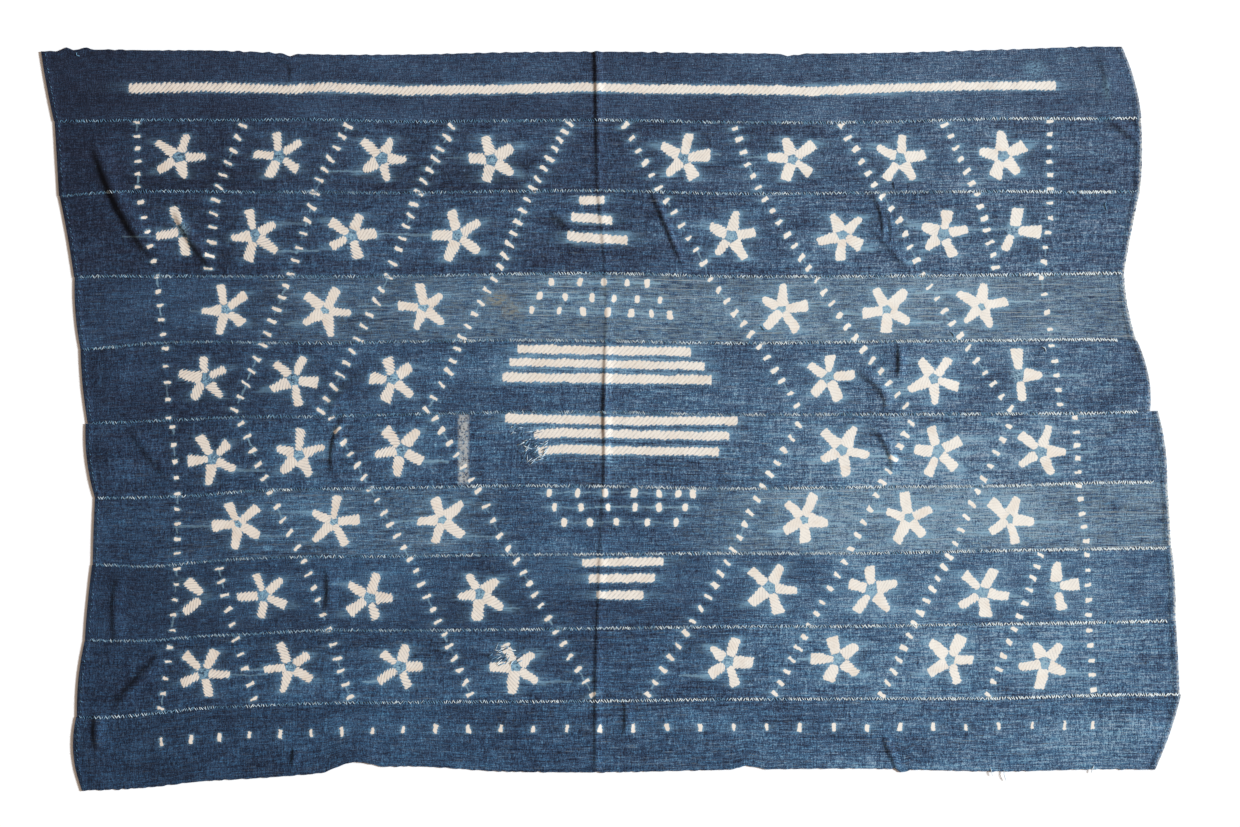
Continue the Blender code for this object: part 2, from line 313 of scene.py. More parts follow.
# Paler (+) or darker (-) patches: x, y, reach along X, reach along Y, change
PATCHES = (
    (-127, -38, 30, 30, -0.12),
    (-150, -330, 30, 18, -0.12),
    (110, 150, 170, 60, 0.08),
    (-133, 150, 120, 60, 0.06),
    (60, 45, 150, 60, 0.08),
    (-133, -30, 110, 60, 0.04),
    (700, -330, 150, 260, 0.08),
    (690, -440, 150, 60, 0.19),
    (380, -90, 330, 110, 0.07),
    (560, -140, 180, 60, 0.06),
    (-560, 30, 240, 120, -0.06),
    (330, -330, 260, 110, 0.04),
    (0, -350, 240, 60, -0.03),
    (-40, 56, 320, 70, 0.10),
    (-20, -143, 270, 62, -0.07),
    (526, -143, 130, 60, 0.05),
    (-150, -290, 430, 125, -0.07),
    (-592, 150, 160, 58, 0.05),
    (-592, -55, 130, 58, -0.04),
    (676, 0, 110, 110, 0.05),
    (700, -240, 120, 60, 0.04),
    (676, -335, 110, 55, -0.06),
    (-20, -240, 260, 55, -0.05),
    (-20, -340, 260, 55, -0.06),
    (-680, -440, 190, 65, 0.10),
    (-380, 56, 180, 55, -0.07),
    (-592, 56, 130, 55, -0.04),
    (527, 56, 130, 58, -0.10),
    (676, 56, 100, 55, 0.06),
    (527, 150, 130, 55, -0.07),
)
# Places where a strip has fewer streaks: strip from 0, x, reach along X, share by which they fall
CALM_PLACES = ((6, -20, 270, 0.70), (3, -592, 160, 0.35))
# A paler field with straight edges: left, right, upper and lower edge, how soft its edges are, change
FIELDS = (
    (-118, 75, 199, 111, 3.0, 0.07),
)
# A scraped field with straight edges: left, right, upper and lower edge, how soft its edges are, strength
SCRAPED_FIELDS = (
    (-213, -197, 6, -94, 3.0, 0.62),
)
# Stains (kind 0, yellow brown) and scrapes (kind 1, pale): x, y, reach along X, reach along Y, kind, strength
MARKS = (
    (-158, 165, 30, 18, 0, 0.70),
    (-138, 150, 26, 20, 0, 0.50),
    (-124, 126, 10, 8, 1, 0.45),
    (589, 486, 26, 18, 1, 0.75),
    (628, 500, 12, 8, 1, 0.65),
    (688, 457, 9, 26, 1, 0.75),
    (172, 118, 6, 4, 1, 0.60),
    (-573, -108, 5, 4, 1, 0.60),
    (203, 192, 6, 4, 1, 0.50),
    (-24, 188, 7, 4, 1, 0.40),
    (-129, 150, 6, 5, 1, 0.45),
)
# Colours as they look under the flat light, 0 to 255
FLAT_LIGHT = 1.12
INDIGO_RAMP = (
    (0.00, (20, 25, 40)),
    (0.15, (36, 43, 62)),
    (0.30, (46, 60, 82)),
    (0.45, (57, 76, 102)),
    (0.60, (71, 97, 124)),
    (0.75, (91, 121, 148)),
    (0.90, (119, 146, 166)),
    (1.00, (152, 174, 188)),
)
RESIST_WHITE = (247, 236, 220)
RESIST_SHADE = (216, 204, 192)
RESIST_WARM = (230, 210, 188)
# The whites are darker at the cloth's left than at its right: painted falloff of the light, which comes from
# the right
LEFT_WHITE = (0.84, 0.83, 0.835, 1.0)
RIGHT_WHITE = (1.005, 1.06, 1.12, 1.0)
# Painted shade between the raised ribs of the white figures, in blue and in grey brown
RIB_BLUE = (96, 112, 136)
RIB_BROWN = (150, 134, 124)
# Painted shade on the white figures where they cross the folds and creases
FOLD_SHADE_BROWN = (128, 106, 88)
UNDYED_GREY = (150, 170, 173)
UPPER_LEFT_TINT = (1.00, 1.02, 1.01, 1.0)
UPPER_RIGHT_TINT = (1.04, 0.935, 0.92, 1.0)
LOWER_LEFT_TINT = (0.80, 1.05, 1.09, 1.0)
LOWER_RIGHT_TINT = (0.94, 1.01, 1.04, 1.0)
PURPLE_THREAD = (1.07, 0.97, 0.98, 1.0)
TEAL_THREAD = (0.84, 1.03, 1.09, 1.0)
BLEED_BLUE = (128, 168, 192)
LINK_BLUE = (150, 186, 204)
STAIN_BROWN = (146, 140, 116)
# The painted highlight along the right ends, whose colour also serves the scraped field, and how far in from
# the end it reaches
END_HIGHLIGHT_AND_SCRAPE_WHITE = (206, 206, 200)
LIT_END_REACH = 4.6
FLECK_GREY = (176, 190, 194)
SLUB_WHITE = (206, 210, 204)
UPRIGHT_BLUE = (140, 172, 196)
CENTRE_BLUE = (160, 196, 208)

# The weave's unevenness: the length of its lumps along X and Y, detail, how much it changes the tone,
# and whether it is in the long threads, which some strips show less
WEAVE = {
    "warp": (50, 1.5, 2.0, 1.25, True),
    "warp_wide": (110, 5.0, 2.0, 0.50, True),
    "weft": (1.6, 16, 2.0, 0.55, False),
    "weft_wide": (6.0, 70, 2.0, 0.28, False),
    "short_warp": (14, 1.4, 1.0, 0.85, False),
    "short_weft": (1.4, 7, 1.0, 0.85, False),
    "grain": (1.5, 1.4, 1.0, 1.45, False),
    "mottle": (8, 6, 2.0, 0.08, False),
    "cloud": (130, 60, 2.0, 0.60, False),
}
MOST_LONG_THREADS = 0.85
NOISE_ROUGHNESS = 0.6
WEAVE_DEPTH = 0.0003
# Uneven masks: the length of their lumps along X and Y, detail, the noise at which they start and are full,
# and where the mask is not from 0 to 1, its two ends
MASKS = {
    "bleeding": (34, 2.0, 2.0, 0.30, 0.66),
    "speckled": (2.6, 2.4, 2.0, 0.38, 0.60),
    "selvedge holes": (2.6, 2.4, 1.0, 0.46, 0.62),
    # How uneven the painted light on the lit side of the folds is
    "lit_side": (2.2, 16, 2.0, 0.45, 0.68),
    "hue": (26, 1.6, 2.0, 0.36, 0.64),
    "undyed": (16, 2.4, 3.0, 0.40, 0.66),
    "fleck": (22, 1.1, 1.0, 0.64, 0.74),
    "slub": (170, 1.5, 1.0, 0.67, 0.76),
    "upright": (1.1, 11, 1.0, 0.66, 0.76),
    "stain": (9, 4, 2.0, 0.34, 0.62),
    "scrape": (4, 3, 2.0, 0.38, 0.62),
    "end_highlight_and_scrape": (3, 3, 2.0, 0.34, 0.58),
    "bled": (26, 2.2, 2.0, 0.34, 0.60),
    "fringe": (5, 2.2, 2.0, 0.40, 0.66),
    "white grain": (1.5, 1.5, 2.0, 0.32, 0.68),
    "warm": (30, 20, 2.0, 0.48, 0.72),
    "ribbed": (7, 5, 1.0, 0.34, 0.66, 0.40, 1.0),
    "rib colour": (18, 18, 1.0, 0.42, 0.58),
}
# How far the figures' edges are rough and wander: the lumps along X and Y, detail, reach
ROUGH_EDGE = (2.4, 2.2, 2.0, 3.8)
WANDER = (14, 14, 1.0, 5.0)
# The ribs: their slant, how they follow the wandering, and the height of their teeth at the figure's edge
RIB_SLANT = 0.9
RIB_WANDER = 1.2
TOOTH_MIDDLE = 0.62
TOOTH_REACH = 3.2
LONGEST_ARM = 20.0
# A pale trace has no fringe, as if its edge were this much further away
TRACE_AWAY = 20.0
# How much bleeding, selvedge holes, and the painted shade and painted light beside folds and creases change
# the place on the ramp
BLEED_TONE = 0.16
HOLE_TONE = 0.12
FOLD_SHADE_TONE = 0.40
LIT_SIDE_TONE = 0.30
# How strongly each colour is mixed in
UNDYED = 0.36
BLED = 0.78
FRINGE = 0.55
WHITE_GRAIN = 0.30
WARM = 0.45
# How strongly the painted shade between the ribs is mixed into the white figures
RIBBED = 0.60
# How strongly the painted shade of the folds and creases browns the white figures
FOLD_SHADE_ON_WHITE = 0.62
# From where to where the selvedge, the fringe and the tints along X reach
SELVEDGE = (3.4, 0.6)
FRINGE_FROM_TO = (3.8, 0.2)
TINTS_FROM_TO = (-650, 450)
# The strips' patterns are taken this far apart, and the tints' lower end is at the last one
SHEET_STEP = 7.3
LOWEST_SHEET = 66
UV_LENGTHS = 4
SLOT_OF_STRIP = ("indigo_dark", "indigo_mid", "indigo_mid", "indigo_streaked", "indigo_dark",
                 "indigo_mid", "indigo_streaked", "indigo_mid", "indigo_mid", "indigo_mid")


def bump(distance):
    """A rounded bump of height 1 at distance 0, which ends level at distance 1."""
    return 0.5 + 0.5 * np.cos(math.pi * np.clip(distance, 0.0, 1.0))


def smooth_line(line, x):
    """The y of an edge or seam at x: a curve through the sections, with the slopes of its neighbours."""
    table = np.array(SECTIONS, dtype=float)
    stations = table[:, 0]
    heights = table[:, line + 1]
    slopes = np.gradient(heights, stations)
    span = np.clip(np.searchsorted(stations, x) - 1, 0, len(stations) - 2)
    width = stations[span + 1] - stations[span]
    t = (x - stations[span]) / width
    start = (1 + 2 * t) * (1 - t) ** 2 * heights[span] + t * (1 - t) ** 2 * width * slopes[span]
    end = t * t * (3 - 2 * t) * heights[span + 1] + t * t * (t - 1) * width * slopes[span + 1]
    return start + end


def line_y(line, x):
    """The y of an edge or seam at x, with the bulges and dents of the outer edges."""
    y = smooth_line(line, x)
    for wave_line, centre, reach, rise in EDGE_WAVES:
        if wave_line == line:
            y = y + rise * bump(np.abs(x - centre) / reach)
    return y


def end_x(strip, side, across):
    """The x of a strip's left (side 0) or right (side 1) end, a bow through its three known places."""
    upper, middle, lower = ENDS[strip][3 * side:3 * side + 3]
    bow = 4 * (middle - (upper + lower) / 2) * across * (1 - across)
    return upper + (lower - upper) * across + bow


def cloth_centre():
    """The middle of the cloth's outline, where the origin is."""
    reach_x = [value for row in ENDS for value in row]
    x = np.linspace(min(reach_x), max(reach_x), 400)
    top = line_y(TOP_LINE, x[(x > ENDS[0][0]) & (x < ENDS[0][3])])
    bottom = line_y(BOTTOM_LINE, x[(x > ENDS[-1][2]) & (x < ENDS[-1][5])])
    return (min(reach_x) + max(reach_x)) / 2, (top.max() + bottom.min()) / 2


CENTRE = cloth_centre()


def offset_from_run(x, y, start, end):
    """How far points lie from a straight run, positive to its right when it runs down the cloth."""
    run = np.subtract(end, start)
    length = math.hypot(*run)
    along = np.clip(((x - start[0]) * run[0] + (y - start[1]) * run[1]) / length ** 2, 0.0, 1.0)
    away_x = x - start[0] - along * run[0]
    away_y = y - start[1] - along * run[1]
    right = -run[1] * away_x + run[0] * away_y
    return np.where(right < 0, -1.0, 1.0) * np.hypot(away_x, away_y)


def crease_profile(offset, half_width):
    """A ridge whose left flank is steeper than its right one."""
    reach = np.where(offset < 0, half_width * STEEP_FLANK, half_width)
    return bump(np.abs(offset) / reach)


def uneven(x, y, wave_x, wave_y, seed):
    """Smooth unevenness between about -1 and 1, from a few crossed waves."""
    draw = np.random.default_rng(seed)
    total = np.zeros_like(x)
    for _ in range(6):
        turn_x, turn_y = draw.uniform(0.6, 1.5, 2) * draw.choice((-1, 1), 2)
        total = total + np.sin(2 * math.pi * (x / wave_x * turn_x + y / wave_y * turn_y + draw.uniform()))
    return total / 3


def fold_at(x, y):
    """How far points lie right of the centre fold, its height, and how strong its painted shade and painted
    light are there.
    """
    table = np.array(CENTRE_FOLD)[::-1]
    place, rise, dark, lit_side = (np.interp(y, table[:, 1], table[:, column]) for column in (0, 2, 3, 4))
    return x - place, rise, dark, lit_side


def crease_at(x, y, crease):
    """How far points lie right of a crease, and a share that falls from 1 to 0 towards its two ends."""
    x0, y0, x1, y1, x2, y2 = crease[:6]
    share = np.linspace(0, 1, CREASE_STEPS)
    bend_x, bend_y = 2 * x1 - (x0 + x2) / 2, 2 * y1 - (y0 + y2) / 2
    curve_x = x0 * (1 - share) ** 2 + 2 * bend_x * share * (1 - share) + x2 * share ** 2
    curve_y = y0 * (1 - share) ** 2 + 2 * bend_y * share * (1 - share) + y2 * share ** 2
    curve = list(zip(curve_x, curve_y))
    offset = offset_from_run(x, y, curve[0], curve[1])
    for start, end in zip(curve[1:], curve[2:]):
        further = offset_from_run(x, y, start, end)
        offset = np.where(np.abs(further) < np.abs(offset), further, offset)
    length = math.hypot(x2 - x0, y2 - y0)
    along = ((x - x0) * (x2 - x0) + (y - y0) * (y2 - y0)) / length ** 2
    return offset, 1 - np.clip(np.abs(2 * along - 1), 0.0, 1.0) ** 3


def relief(x, y):
    """How far the underside stands off the surface: creases, swells and a slight unevenness."""
    offset, rise, _, _ = fold_at(x, y)
    height = rise * crease_profile(offset, FOLD_REACH)
    for crease in CREASES:
        offset, fade = crease_at(x, y, crease)
        height = np.maximum(height, crease[7] * fade * crease_profile(offset, crease[6]))
    for centre_x, centre_y, reach_x, reach_y, rise in SWELLS:
        height = height + rise * bump(np.hypot((x - centre_x) / reach_x, (y - centre_y) / reach_y))
    height = height + 0.35 * (1 + uneven(x, y, 130, 90, SEED)) * 0.5
    height = height + 0.30 * (1 + uneven(x, y, 34, 60, SEED + 1)) * 0.5
    height = height + 0.12 * (1 + uneven(x, y, 15, 24, SEED + 2)) * 0.5
    return np.maximum(height, 0.0)


def puckers(strip, x, from_top, from_bottom):
    """The small gathers that sewing leaves along a strip's long edges."""
    phase = 1.4 * uneven(x, np.zeros_like(x), 60, 50, SEED + 10 + strip)
    gather = 0.5 + 0.5 * np.sin(2 * math.pi * x / 9.0 + 3 * phase)
    return 0.55 * gather * (np.exp(-from_top / 5.0) + np.exp(-from_bottom / 5.0))


def strip_stations(strip):
    """Where a strip is divided along its length: evenly, and finely over its creases and hems."""
    left = end_x(strip, 0, np.array([0.0, 0.5, 1.0])).mean()
    right = end_x(strip, 1, np.array([0.0, 0.5, 1.0])).mean()
    middle = np.array([(left + right) / 2])
    high = line_y(strip, middle)[0]
    low = line_y(strip + 1, middle)[0]
    places = list(np.arange(left + 16, right - 16, COLUMN_PITCH))
    fold = np.interp(np.linspace(low, high, 5), *np.array(CENTRE_FOLD)[::-1, 1::-1].T)
    places += list(np.arange(fold.min() - FOLD_REACH * STEEP_FLANK, fold.max() + FOLD_REACH, CREASE_PITCH))
    for x0, y0, x1, y1, x2, y2, half_width, _, _ in CREASES:
        if min(y0, y2) - half_width > high or max(y0, y2) + half_width < low:
            continue
        points = sorted(((y0, x0), (y1, x1), (y2, x2)))
        inside = np.interp(np.linspace(low, high, 9), [y for y, _ in points], [x for _, x in points])
        first = inside.min() - half_width * STEEP_FLANK
        places += list(np.arange(first, inside.max() + half_width, CREASE_PITCH))
    inner = sorted(place for place in places if left + 16 < place < right - 16)
    kept = [inner[0]]
    for place in inner[1:]:
        if place - kept[-1] > CREASE_PITCH * 0.6:
            kept.append(place)
    hem = (0.0, 0.6, 1.6, 3.2, 5.2, HEM_WIDTH, HEM_WIDTH + 1.2, HEM_WIDTH + HEM_SLOPE, 13.0)
    return np.array([left + step for step in hem] + kept + [right - step for step in reversed(hem)])


def strip_shares():
    """The shares of a strip's width at which it is divided, closer together at its two long edges."""
    edge = [step / STRIP_WIDTH for step in EDGE_STEPS]
    rows = round((STRIP_WIDTH - 2 * EDGE_STEPS[-1]) / ROW_PITCH)
    inner = np.linspace(edge[-1], 1 - edge[-1], rows + 1)[1:-1]
    return np.array(edge + list(inner) + [1 - share for share in reversed(edge)])


class Strip:
    """The grid of one strip: x, y of each point, its underside and the thickness of its cloth."""

    def __init__(self, strip):
        self.strip = strip
        self.stations = strip_stations(strip)
        self.shares = strip_shares()
        station = self.stations[:, None]
        share = self.shares[None, :]
        left, right = self.stations[0], self.stations[-1]
        left_shift = (end_x(strip, 0, share) - left) * bump((station - left) / END_REACH)
        right_shift = (end_x(strip, 1, share) - right) * bump((right - station) / END_REACH)
        self.x = station + left_shift + right_shift
        high = line_y(strip, self.x) - (SEAM_GAP / 2 if strip > 0 else 0.0)
        low = line_y(strip + 1, self.x) + (SEAM_GAP / 2 if strip < STRIPS - 1 else 0.0)
        ragged = RAGGED * uneven(self.x, 0 * self.x, 17, 17, SEED + 30 + strip)
        high = high + (ragged if strip == 0 else 0.0)
        low = low + (ragged if strip == STRIPS - 1 else 0.0)
        self.y = high + (low - high) * share
        from_end = np.minimum(station - left, right - station) + 0 * share
        from_top = (high - low) * share
        from_bottom = (high - low) * (1 - share)
        self.under = relief(self.x, self.y) + puckers(strip, self.x, from_top, from_bottom)
        self.under = self.under * np.clip(from_end / 12.0, 0.15, 1.0)
        hem = np.clip(1 - (from_end - HEM_WIDTH) / HEM_SLOPE, 0.0, 1.0)
        edge = np.minimum(np.minimum(from_top, from_bottom), from_end)
        rounding = EDGE_DROP * (1 - np.clip(edge / EDGE_STEPS[-1], 0.0, 1.0)) ** 2
        self.depth = SHEET + HEM_EXTRA * hem - rounding


def top_of(x, y):
    """Roughly how high the top of the cloth is at x, y."""
    return relief(np.atleast_1d(float(x)), np.atleast_1d(float(y)))[0] + SHEET


def read_values(items, name, width, kind=np.float32):
    """One property of a mesh's vertices, corners or faces, as an array."""
    values = np.empty(len(items) * width, kind)
    items.foreach_get(name, values)
    return values.reshape(-1, width) if width > 1 else values


def make_sheet(grid):
    """A grid extruded into a thin closed sheet, and then shaped to the strip's underside and thickness."""
    columns = len(grid.stations) - 1
    rows = len(grid.shares) - 1
    sheet = bmesh.new()
    bmesh.ops.create_grid(sheet, x_segments=columns, y_segments=rows, size=1.0)
    bmesh.ops.reverse_faces(sheet, faces=sheet.faces[:])
    raised = bmesh.ops.extrude_face_region(sheet, geom=sheet.faces[:], use_keep_orig=True)
    top_points = [item for item in raised["geom"] if isinstance(item, bmesh.types.BMVert)]
    bmesh.ops.translate(sheet, verts=top_points, vec=(0.0, 0.0, 1.0))
    bmesh.ops.recalc_face_normals(sheet, faces=sheet.faces[:])
    mesh = bpy.data.meshes.new(f"cloth_{grid.strip + 1:02d}")
    sheet.to_mesh(mesh)
    sheet.free()
    plan = read_values(mesh.vertices, "co", 3)
    column = np.rint((plan[:, 0] + 1) / 2 * columns).astype(int)
    row = np.rint((1 - plan[:, 1]) / 2 * rows).astype(int)
    x = grid.x[column, row] - CENTRE[0]
    y = grid.y[column, row] - CENTRE[1]
    z = grid.under[column, row] + np.where(plan[:, 2] > 0.5, grid.depth[column, row], 0.0)
    mesh.vertices.foreach_set("co", (MM * np.stack([x, y, z], 1)).astype(np.float32).ravel())
    mesh.update()
    mesh.shade_smooth()
    mesh.set_sharp_from_angle(angle=math.radians(50))
    return mesh


# Resist figures. Each is a row: x, y, direction in radians, half length, half width, taper,
# strength (1 for white, less for a pale trace), ribs, roundness of its corners, its own number
X, Y, TURN, LONG, HALF, TAPER, STRENGTH, RIBS, ROUND, SORT = range(10)


def star_figures(draw):
    rows = []
    stars = [(x, y, [turn + 72 * arm for arm in range(STAR_ARMS)]) for x, y, turn in STARS]
    stars += [(x, y, list(turns)) for x, y, turns in PART_STARS]
    for x, y, turns in stars:
        strip = strip_at(x, y)
        solid = strip in PALE_STRIPS
        for turn in turns:
            angle = math.radians(turn + draw.uniform(-6, 6))
            start = (6.2 if solid else ARM_START) + draw.uniform(-2.5, 1.5)
            end = ARM_END + draw.uniform(-4.0, 3.0)
            along = (start + end) / 2
            rows.append((x + along * math.cos(angle), y + along * math.sin(angle), angle, (end - start) / 2,
                         (ARM_HALF + draw.uniform(-1.2, 0.7)) * np.interp(x, BLEED_PLACES, ARM_WIDTHS),
                         draw.uniform(-0.45, 0.30), 1.0,
                         (0.45 if solid else draw.uniform(0.5, 0.8)) * np.interp(x, (-300, 300), (1.0, 0.5)),
                         draw.uniform(2.2, 4.6), draw.uniform()))
            level = math.cos(angle)
            if abs(level) > 0.8 and draw.uniform() < (0.9 if solid else 0.5):
                rows.append(wick(draw, x + end * level, y + end * math.sin(angle), math.copysign(
                    draw.uniform(14, 60), level), draw.uniform(0.9, 1.9)))
    return rows


def wick(draw, x, y, reach, half):
    """A faint trace along the warp where the white has crept into the blue."""
    strength = draw.uniform(*WICK_STRENGTH) * np.interp(x, BLEED_PLACES, WICK_SHARES)
    return (x + reach / 2, y, 0.0, abs(reach) / 2, half, 0.0, strength, 0.0, TRACE_ROUND, draw.uniform())


def strip_at(x, y):
    """Which strip, from 0 at the top, a point is on."""
    for strip in range(STRIPS):
        if line_y(strip + 1, np.array([float(x)]))[0] < y:
            return strip
    return STRIPS - 1


def dash_figures(draw):
    rows = []
    for half_length, lean, knots in DASH_LINES:
        places = []
        for (x0, y0, count), (x1, y1, _) in zip(knots, knots[1:]):
            for step in range(count):
                places.append((x0 + (x1 - x0) * step / count, y0 + (y1 - y0) * step / count))
        places.append(knots[-1][:2])
        for number, (x, y) in enumerate(places):
            before = places[max(number - 1, 0)]
            after = places[min(number + 1, len(places) - 1)]
            line = math.atan2(after[1] - before[1], after[0] - before[0])
            angle = line + math.pi / 2 + math.radians(lean + draw.uniform(-9, 9))
            widen = np.interp(x, BLEED_PLACES, DASH_WIDTHS)
            rows.append((x + draw.uniform(-0.8, 0.8), y + draw.uniform(-0.8, 0.8), angle,
                         half_length * draw.uniform(0.72, 1.05), DASH_HALF * draw.uniform(0.75, 1.2) * widen,
                         draw.uniform(-0.3, 0.3), 1.0, 0.0, draw.uniform(1.0, 1.9), draw.uniform()))
            reach = draw.uniform(0.3, 0.9)
            length = math.hypot(after[0] - x, after[1] - y)
            if 1 < length < LINK_LONGEST and draw.uniform() < LINK_SHARE:
                middle = (x + (after[0] - x) * reach / 2, y + (after[1] - y) * reach / 2)
                rows.append((*middle, line, length * reach / 2, LINK_HALF, 0.0, draw.uniform(*LINK_STRENGTH),
                             0.0, TRACE_ROUND, draw.uniform()))
    return rows


def bar_figures(draw):
    rows = []
    for points in BARS:
        for (x0, y0), (x1, y1) in zip(points, points[1:]):
            length = math.hypot(x1 - x0, y1 - y0)
            rows.append(((x0 + x1) / 2, (y0 + y1) / 2, math.atan2(y1 - y0, x1 - x0), length / 2 + 1.0,
                         BAR_HALF + draw.uniform(-0.4, 0.3), 0.0, 1.0,
                         np.interp((x0 + x1) / 2, (-500, -100), (0.95, 0.55)), 2.4, 0.5))
    return rows


def dot_figures(draw):
    rows = []
    for x, y in DOTS:
        angle = math.pi / 2 + math.radians(draw.uniform(-12, 4))
        rows.append((x, y, angle, DOT_LONG * draw.uniform(0.85, 1.1), DOT_HALF * draw.uniform(0.85, 1.15),
                     0.0, 1.0, 0.0, 3.6, draw.uniform()))
        rows.append(wick(draw, x - 19, y + draw.uniform(-0.8, 0.8), 38, draw.uniform(0.8, 1.4)))
    return rows


def all_figures():
    draw = np.random.default_rng(SEED)
    rows = star_figures(draw) + dash_figures(draw) + bar_figures(draw) + dot_figures(draw)
    return np.array(rows)


FIGURES = all_figures()


def figure_offsets(figures, x, y):
    """Along and across each figure, for points x, y: arrays of points by figures."""
    away_x = x[:, None] - figures[None, :, X]
    away_y = y[:, None] - figures[None, :, Y]
    cos, sin = np.cos(figures[:, TURN]), np.sin(figures[:, TURN])
    return away_x * cos + away_y * sin, away_y * cos - away_x * sin


def add_attribute(mesh, name, values):
    """A vector attribute on the mesh's face corners."""
    attribute = mesh.attributes.new(name, "FLOAT_VECTOR", "CORNER")
    attribute.data.foreach_set("vector", np.asarray(values, np.float32).ravel())


def mesh_arrays(mesh):
    """Points, corner vertices, corner faces and face centres of a mesh, in millimetres as in the tables."""
    points = read_values(mesh.vertices, "co", 3).astype(float) / MM + (CENTRE[0], CENTRE[1], 0)
    corner = read_values(mesh.loops, "vertex_index", 1, np.int32)
    first = read_values(mesh.polygons, "loop_start", 1, np.int32)
    total = read_values(mesh.polygons, "loop_total", 1, np.int32)
    face = np.repeat(np.arange(len(first)), total)
    centres = np.add.reduceat(points[corner], first) / total[:, None]
    return points, corner, face, centres


def paint_figures(mesh, points, corner, face, centres):
    """Gives each face its two nearest figures, and each of its corners its place in them."""
    figures = FIGURES[np.abs(FIGURES[:, Y] - centres[:, 1].mean()) < STRIP_WIDTH]
    best = np.empty((len(centres), 2), int)
    for start in range(0, len(centres), 8000):
        part = slice(start, start + 8000)
        along, across = figure_offsets(figures, centres[part, 0], centres[part, 1])
        outside = np.maximum(np.abs(along) - figures[:, LONG], np.abs(across) - figures[:, HALF])
        outside = outside + 2.5 * (figures[:, STRENGTH] < 1)
        best[part] = np.argpartition(outside, 2, axis=1)[:, :2]
    for slot, letter in enumerate("ab"):
        chosen = figures[best[face, slot]]
        away_x = points[corner, 0] - chosen[:, X]
        away_y = points[corner, 1] - chosen[:, Y]
        cos, sin = np.cos(chosen[:, TURN]), np.sin(chosen[:, TURN])
        along = away_x * cos + away_y * sin
        across = away_y * cos - away_x * sin
        add_attribute(mesh, f"near_{letter}", np.stack([along, across, chosen[:, SORT]], 1))
        add_attribute(mesh, f"size_{letter}", chosen[:, (LONG, HALF, TAPER)])
        add_attribute(mesh, f"look_{letter}", chosen[:, (STRENGTH, RIBS, ROUND)])


def bleed_kind(figure):
    """Which kind a figure is, told from its length."""
    if figure[LONG] > 30:
        return "bar"
    if figure[LONG] > 9:
        return "arm"
    return "dot" if figure[HALF] > 3 else "dash"


def beside_figure(figure, x, y):
    """How far points lie beside a figure along the warp, and how far above or below it."""
    sin, cos = math.sin(figure[TURN]), math.cos(figure[TURN])
    rise = y - figure[Y]
    half_y = abs(sin) * figure[LONG] + abs(cos) * figure[HALF]
    if abs(sin) > 0.35:
        shift = np.clip(rise * cos / sin, -abs(cos) * figure[LONG], abs(cos) * figure[LONG])
        half_x = figure[HALF] / abs(sin)
    else:
        shift = 0.0
        half_x = abs(cos) * figure[LONG]
    beyond_x = np.maximum(np.abs(x - figure[X] - shift) - half_x, 0.0)
    return beyond_x, np.maximum(np.abs(rise) - half_y + 1.5, 0.0)


def wash_at(x, y):
    """How far the resist has bled along the threads beside the figures, and the stars' pale middles."""
    wash = np.zeros_like(x)
    for figure in FIGURES[FIGURES[:, STRENGTH] == 1]:
        strength, near, far = BLEED_OF[bleed_kind(figure)]
        strength = strength * np.interp(figure[X], BLEED_PLACES, BLEED_SHARES)
        close = (np.abs(x - figure[X]) < figure[LONG] + 70) & (np.abs(y - figure[Y]) < figure[LONG] + 12)
        beyond_x, beyond_y = beside_figure(figure, x[close], y[close])
        glow = 0.65 * np.exp(-beyond_x / near) + 0.35 * np.exp(-beyond_x / far)
        glow = glow * np.exp(-(beyond_y / 2.4) ** 2)
        wash[close] = np.maximum(wash[close], strength * glow)
    part_stars = [star[:2] for star in PART_STARS if len(star[2]) > 2]
    centres = np.array([star[:2] for star in STARS] + part_stars, float)
    away = np.hypot(x[:, None] - centres[None, :, 0], y[:, None] - centres[None, :, 1]).min(axis=1)
    return wash, np.exp(-(away / 10.5) ** 4)


def tone_at(strip, x, y):
    """The place of the blue on the colour ramp."""
    tone = np.interp(x, [place for place, _ in TONE_ALONG], [value for _, value in TONE_ALONG])
    tone = tone + TONE_OF_STRIP[strip]
    for centre_x, centre_y, reach_x, reach_y, change in PATCHES:
        tone = tone + change * bump(np.hypot((x - centre_x) / reach_x, (y - centre_y) / reach_y))
    for *edges, change in FIELDS:
        tone = tone + change * inside_field(x, y, *edges)
    return tone


def inside_field(x, y, left, right, upper, lower, soft):
    """1 inside a field with straight edges, and 0 outside it."""
    inside = np.minimum(np.minimum(x - left, right - x), np.minimum(upper - y, y - lower))
    return np.clip(inside / soft, 0.0, 1.0)


def marks_at(x, y):
    """How stained and how scraped the cloth is."""
    found = np.zeros((2, len(x)))
    for centre_x, centre_y, reach_x, reach_y, kind, strength in MARKS:
        spot = strength * bump(np.hypot((x - centre_x) / reach_x, (y - centre_y) / reach_y))
        found[kind] = np.maximum(found[kind], spot)
    return found


def painted_fold_light(x, y):
    """Painted shade on the left side of each fold and crease, which faces away from the light, less the
    painted light on its lit right side.
    """
    offset, _, fold_shade, fold_lit = fold_at(x, y)
    dark = fold_shade * bump(np.abs(offset + 2.4) / 5.4)
    dark = np.maximum(dark, 0.30 * fold_shade * np.exp(np.minimum(offset, 0) / 14.0) * (offset < 0))
    pale = fold_lit * bump(np.abs(offset - 6.0) / 8.5)
    for crease in CREASES:
        offset, fade = crease_at(x, y, crease)
        shade_reach = 3.2 + 0.45 * crease[6]
        shade = bump(np.abs(offset + 0.16 * crease[6]) / shade_reach)
        dark = np.maximum(dark, 0.82 * crease[8] * fade * shade)
        pale = np.maximum(pale, 0.25 * crease[8] * fade * bump(np.abs(offset - 7.0) / 9.0))
    return dark, pale


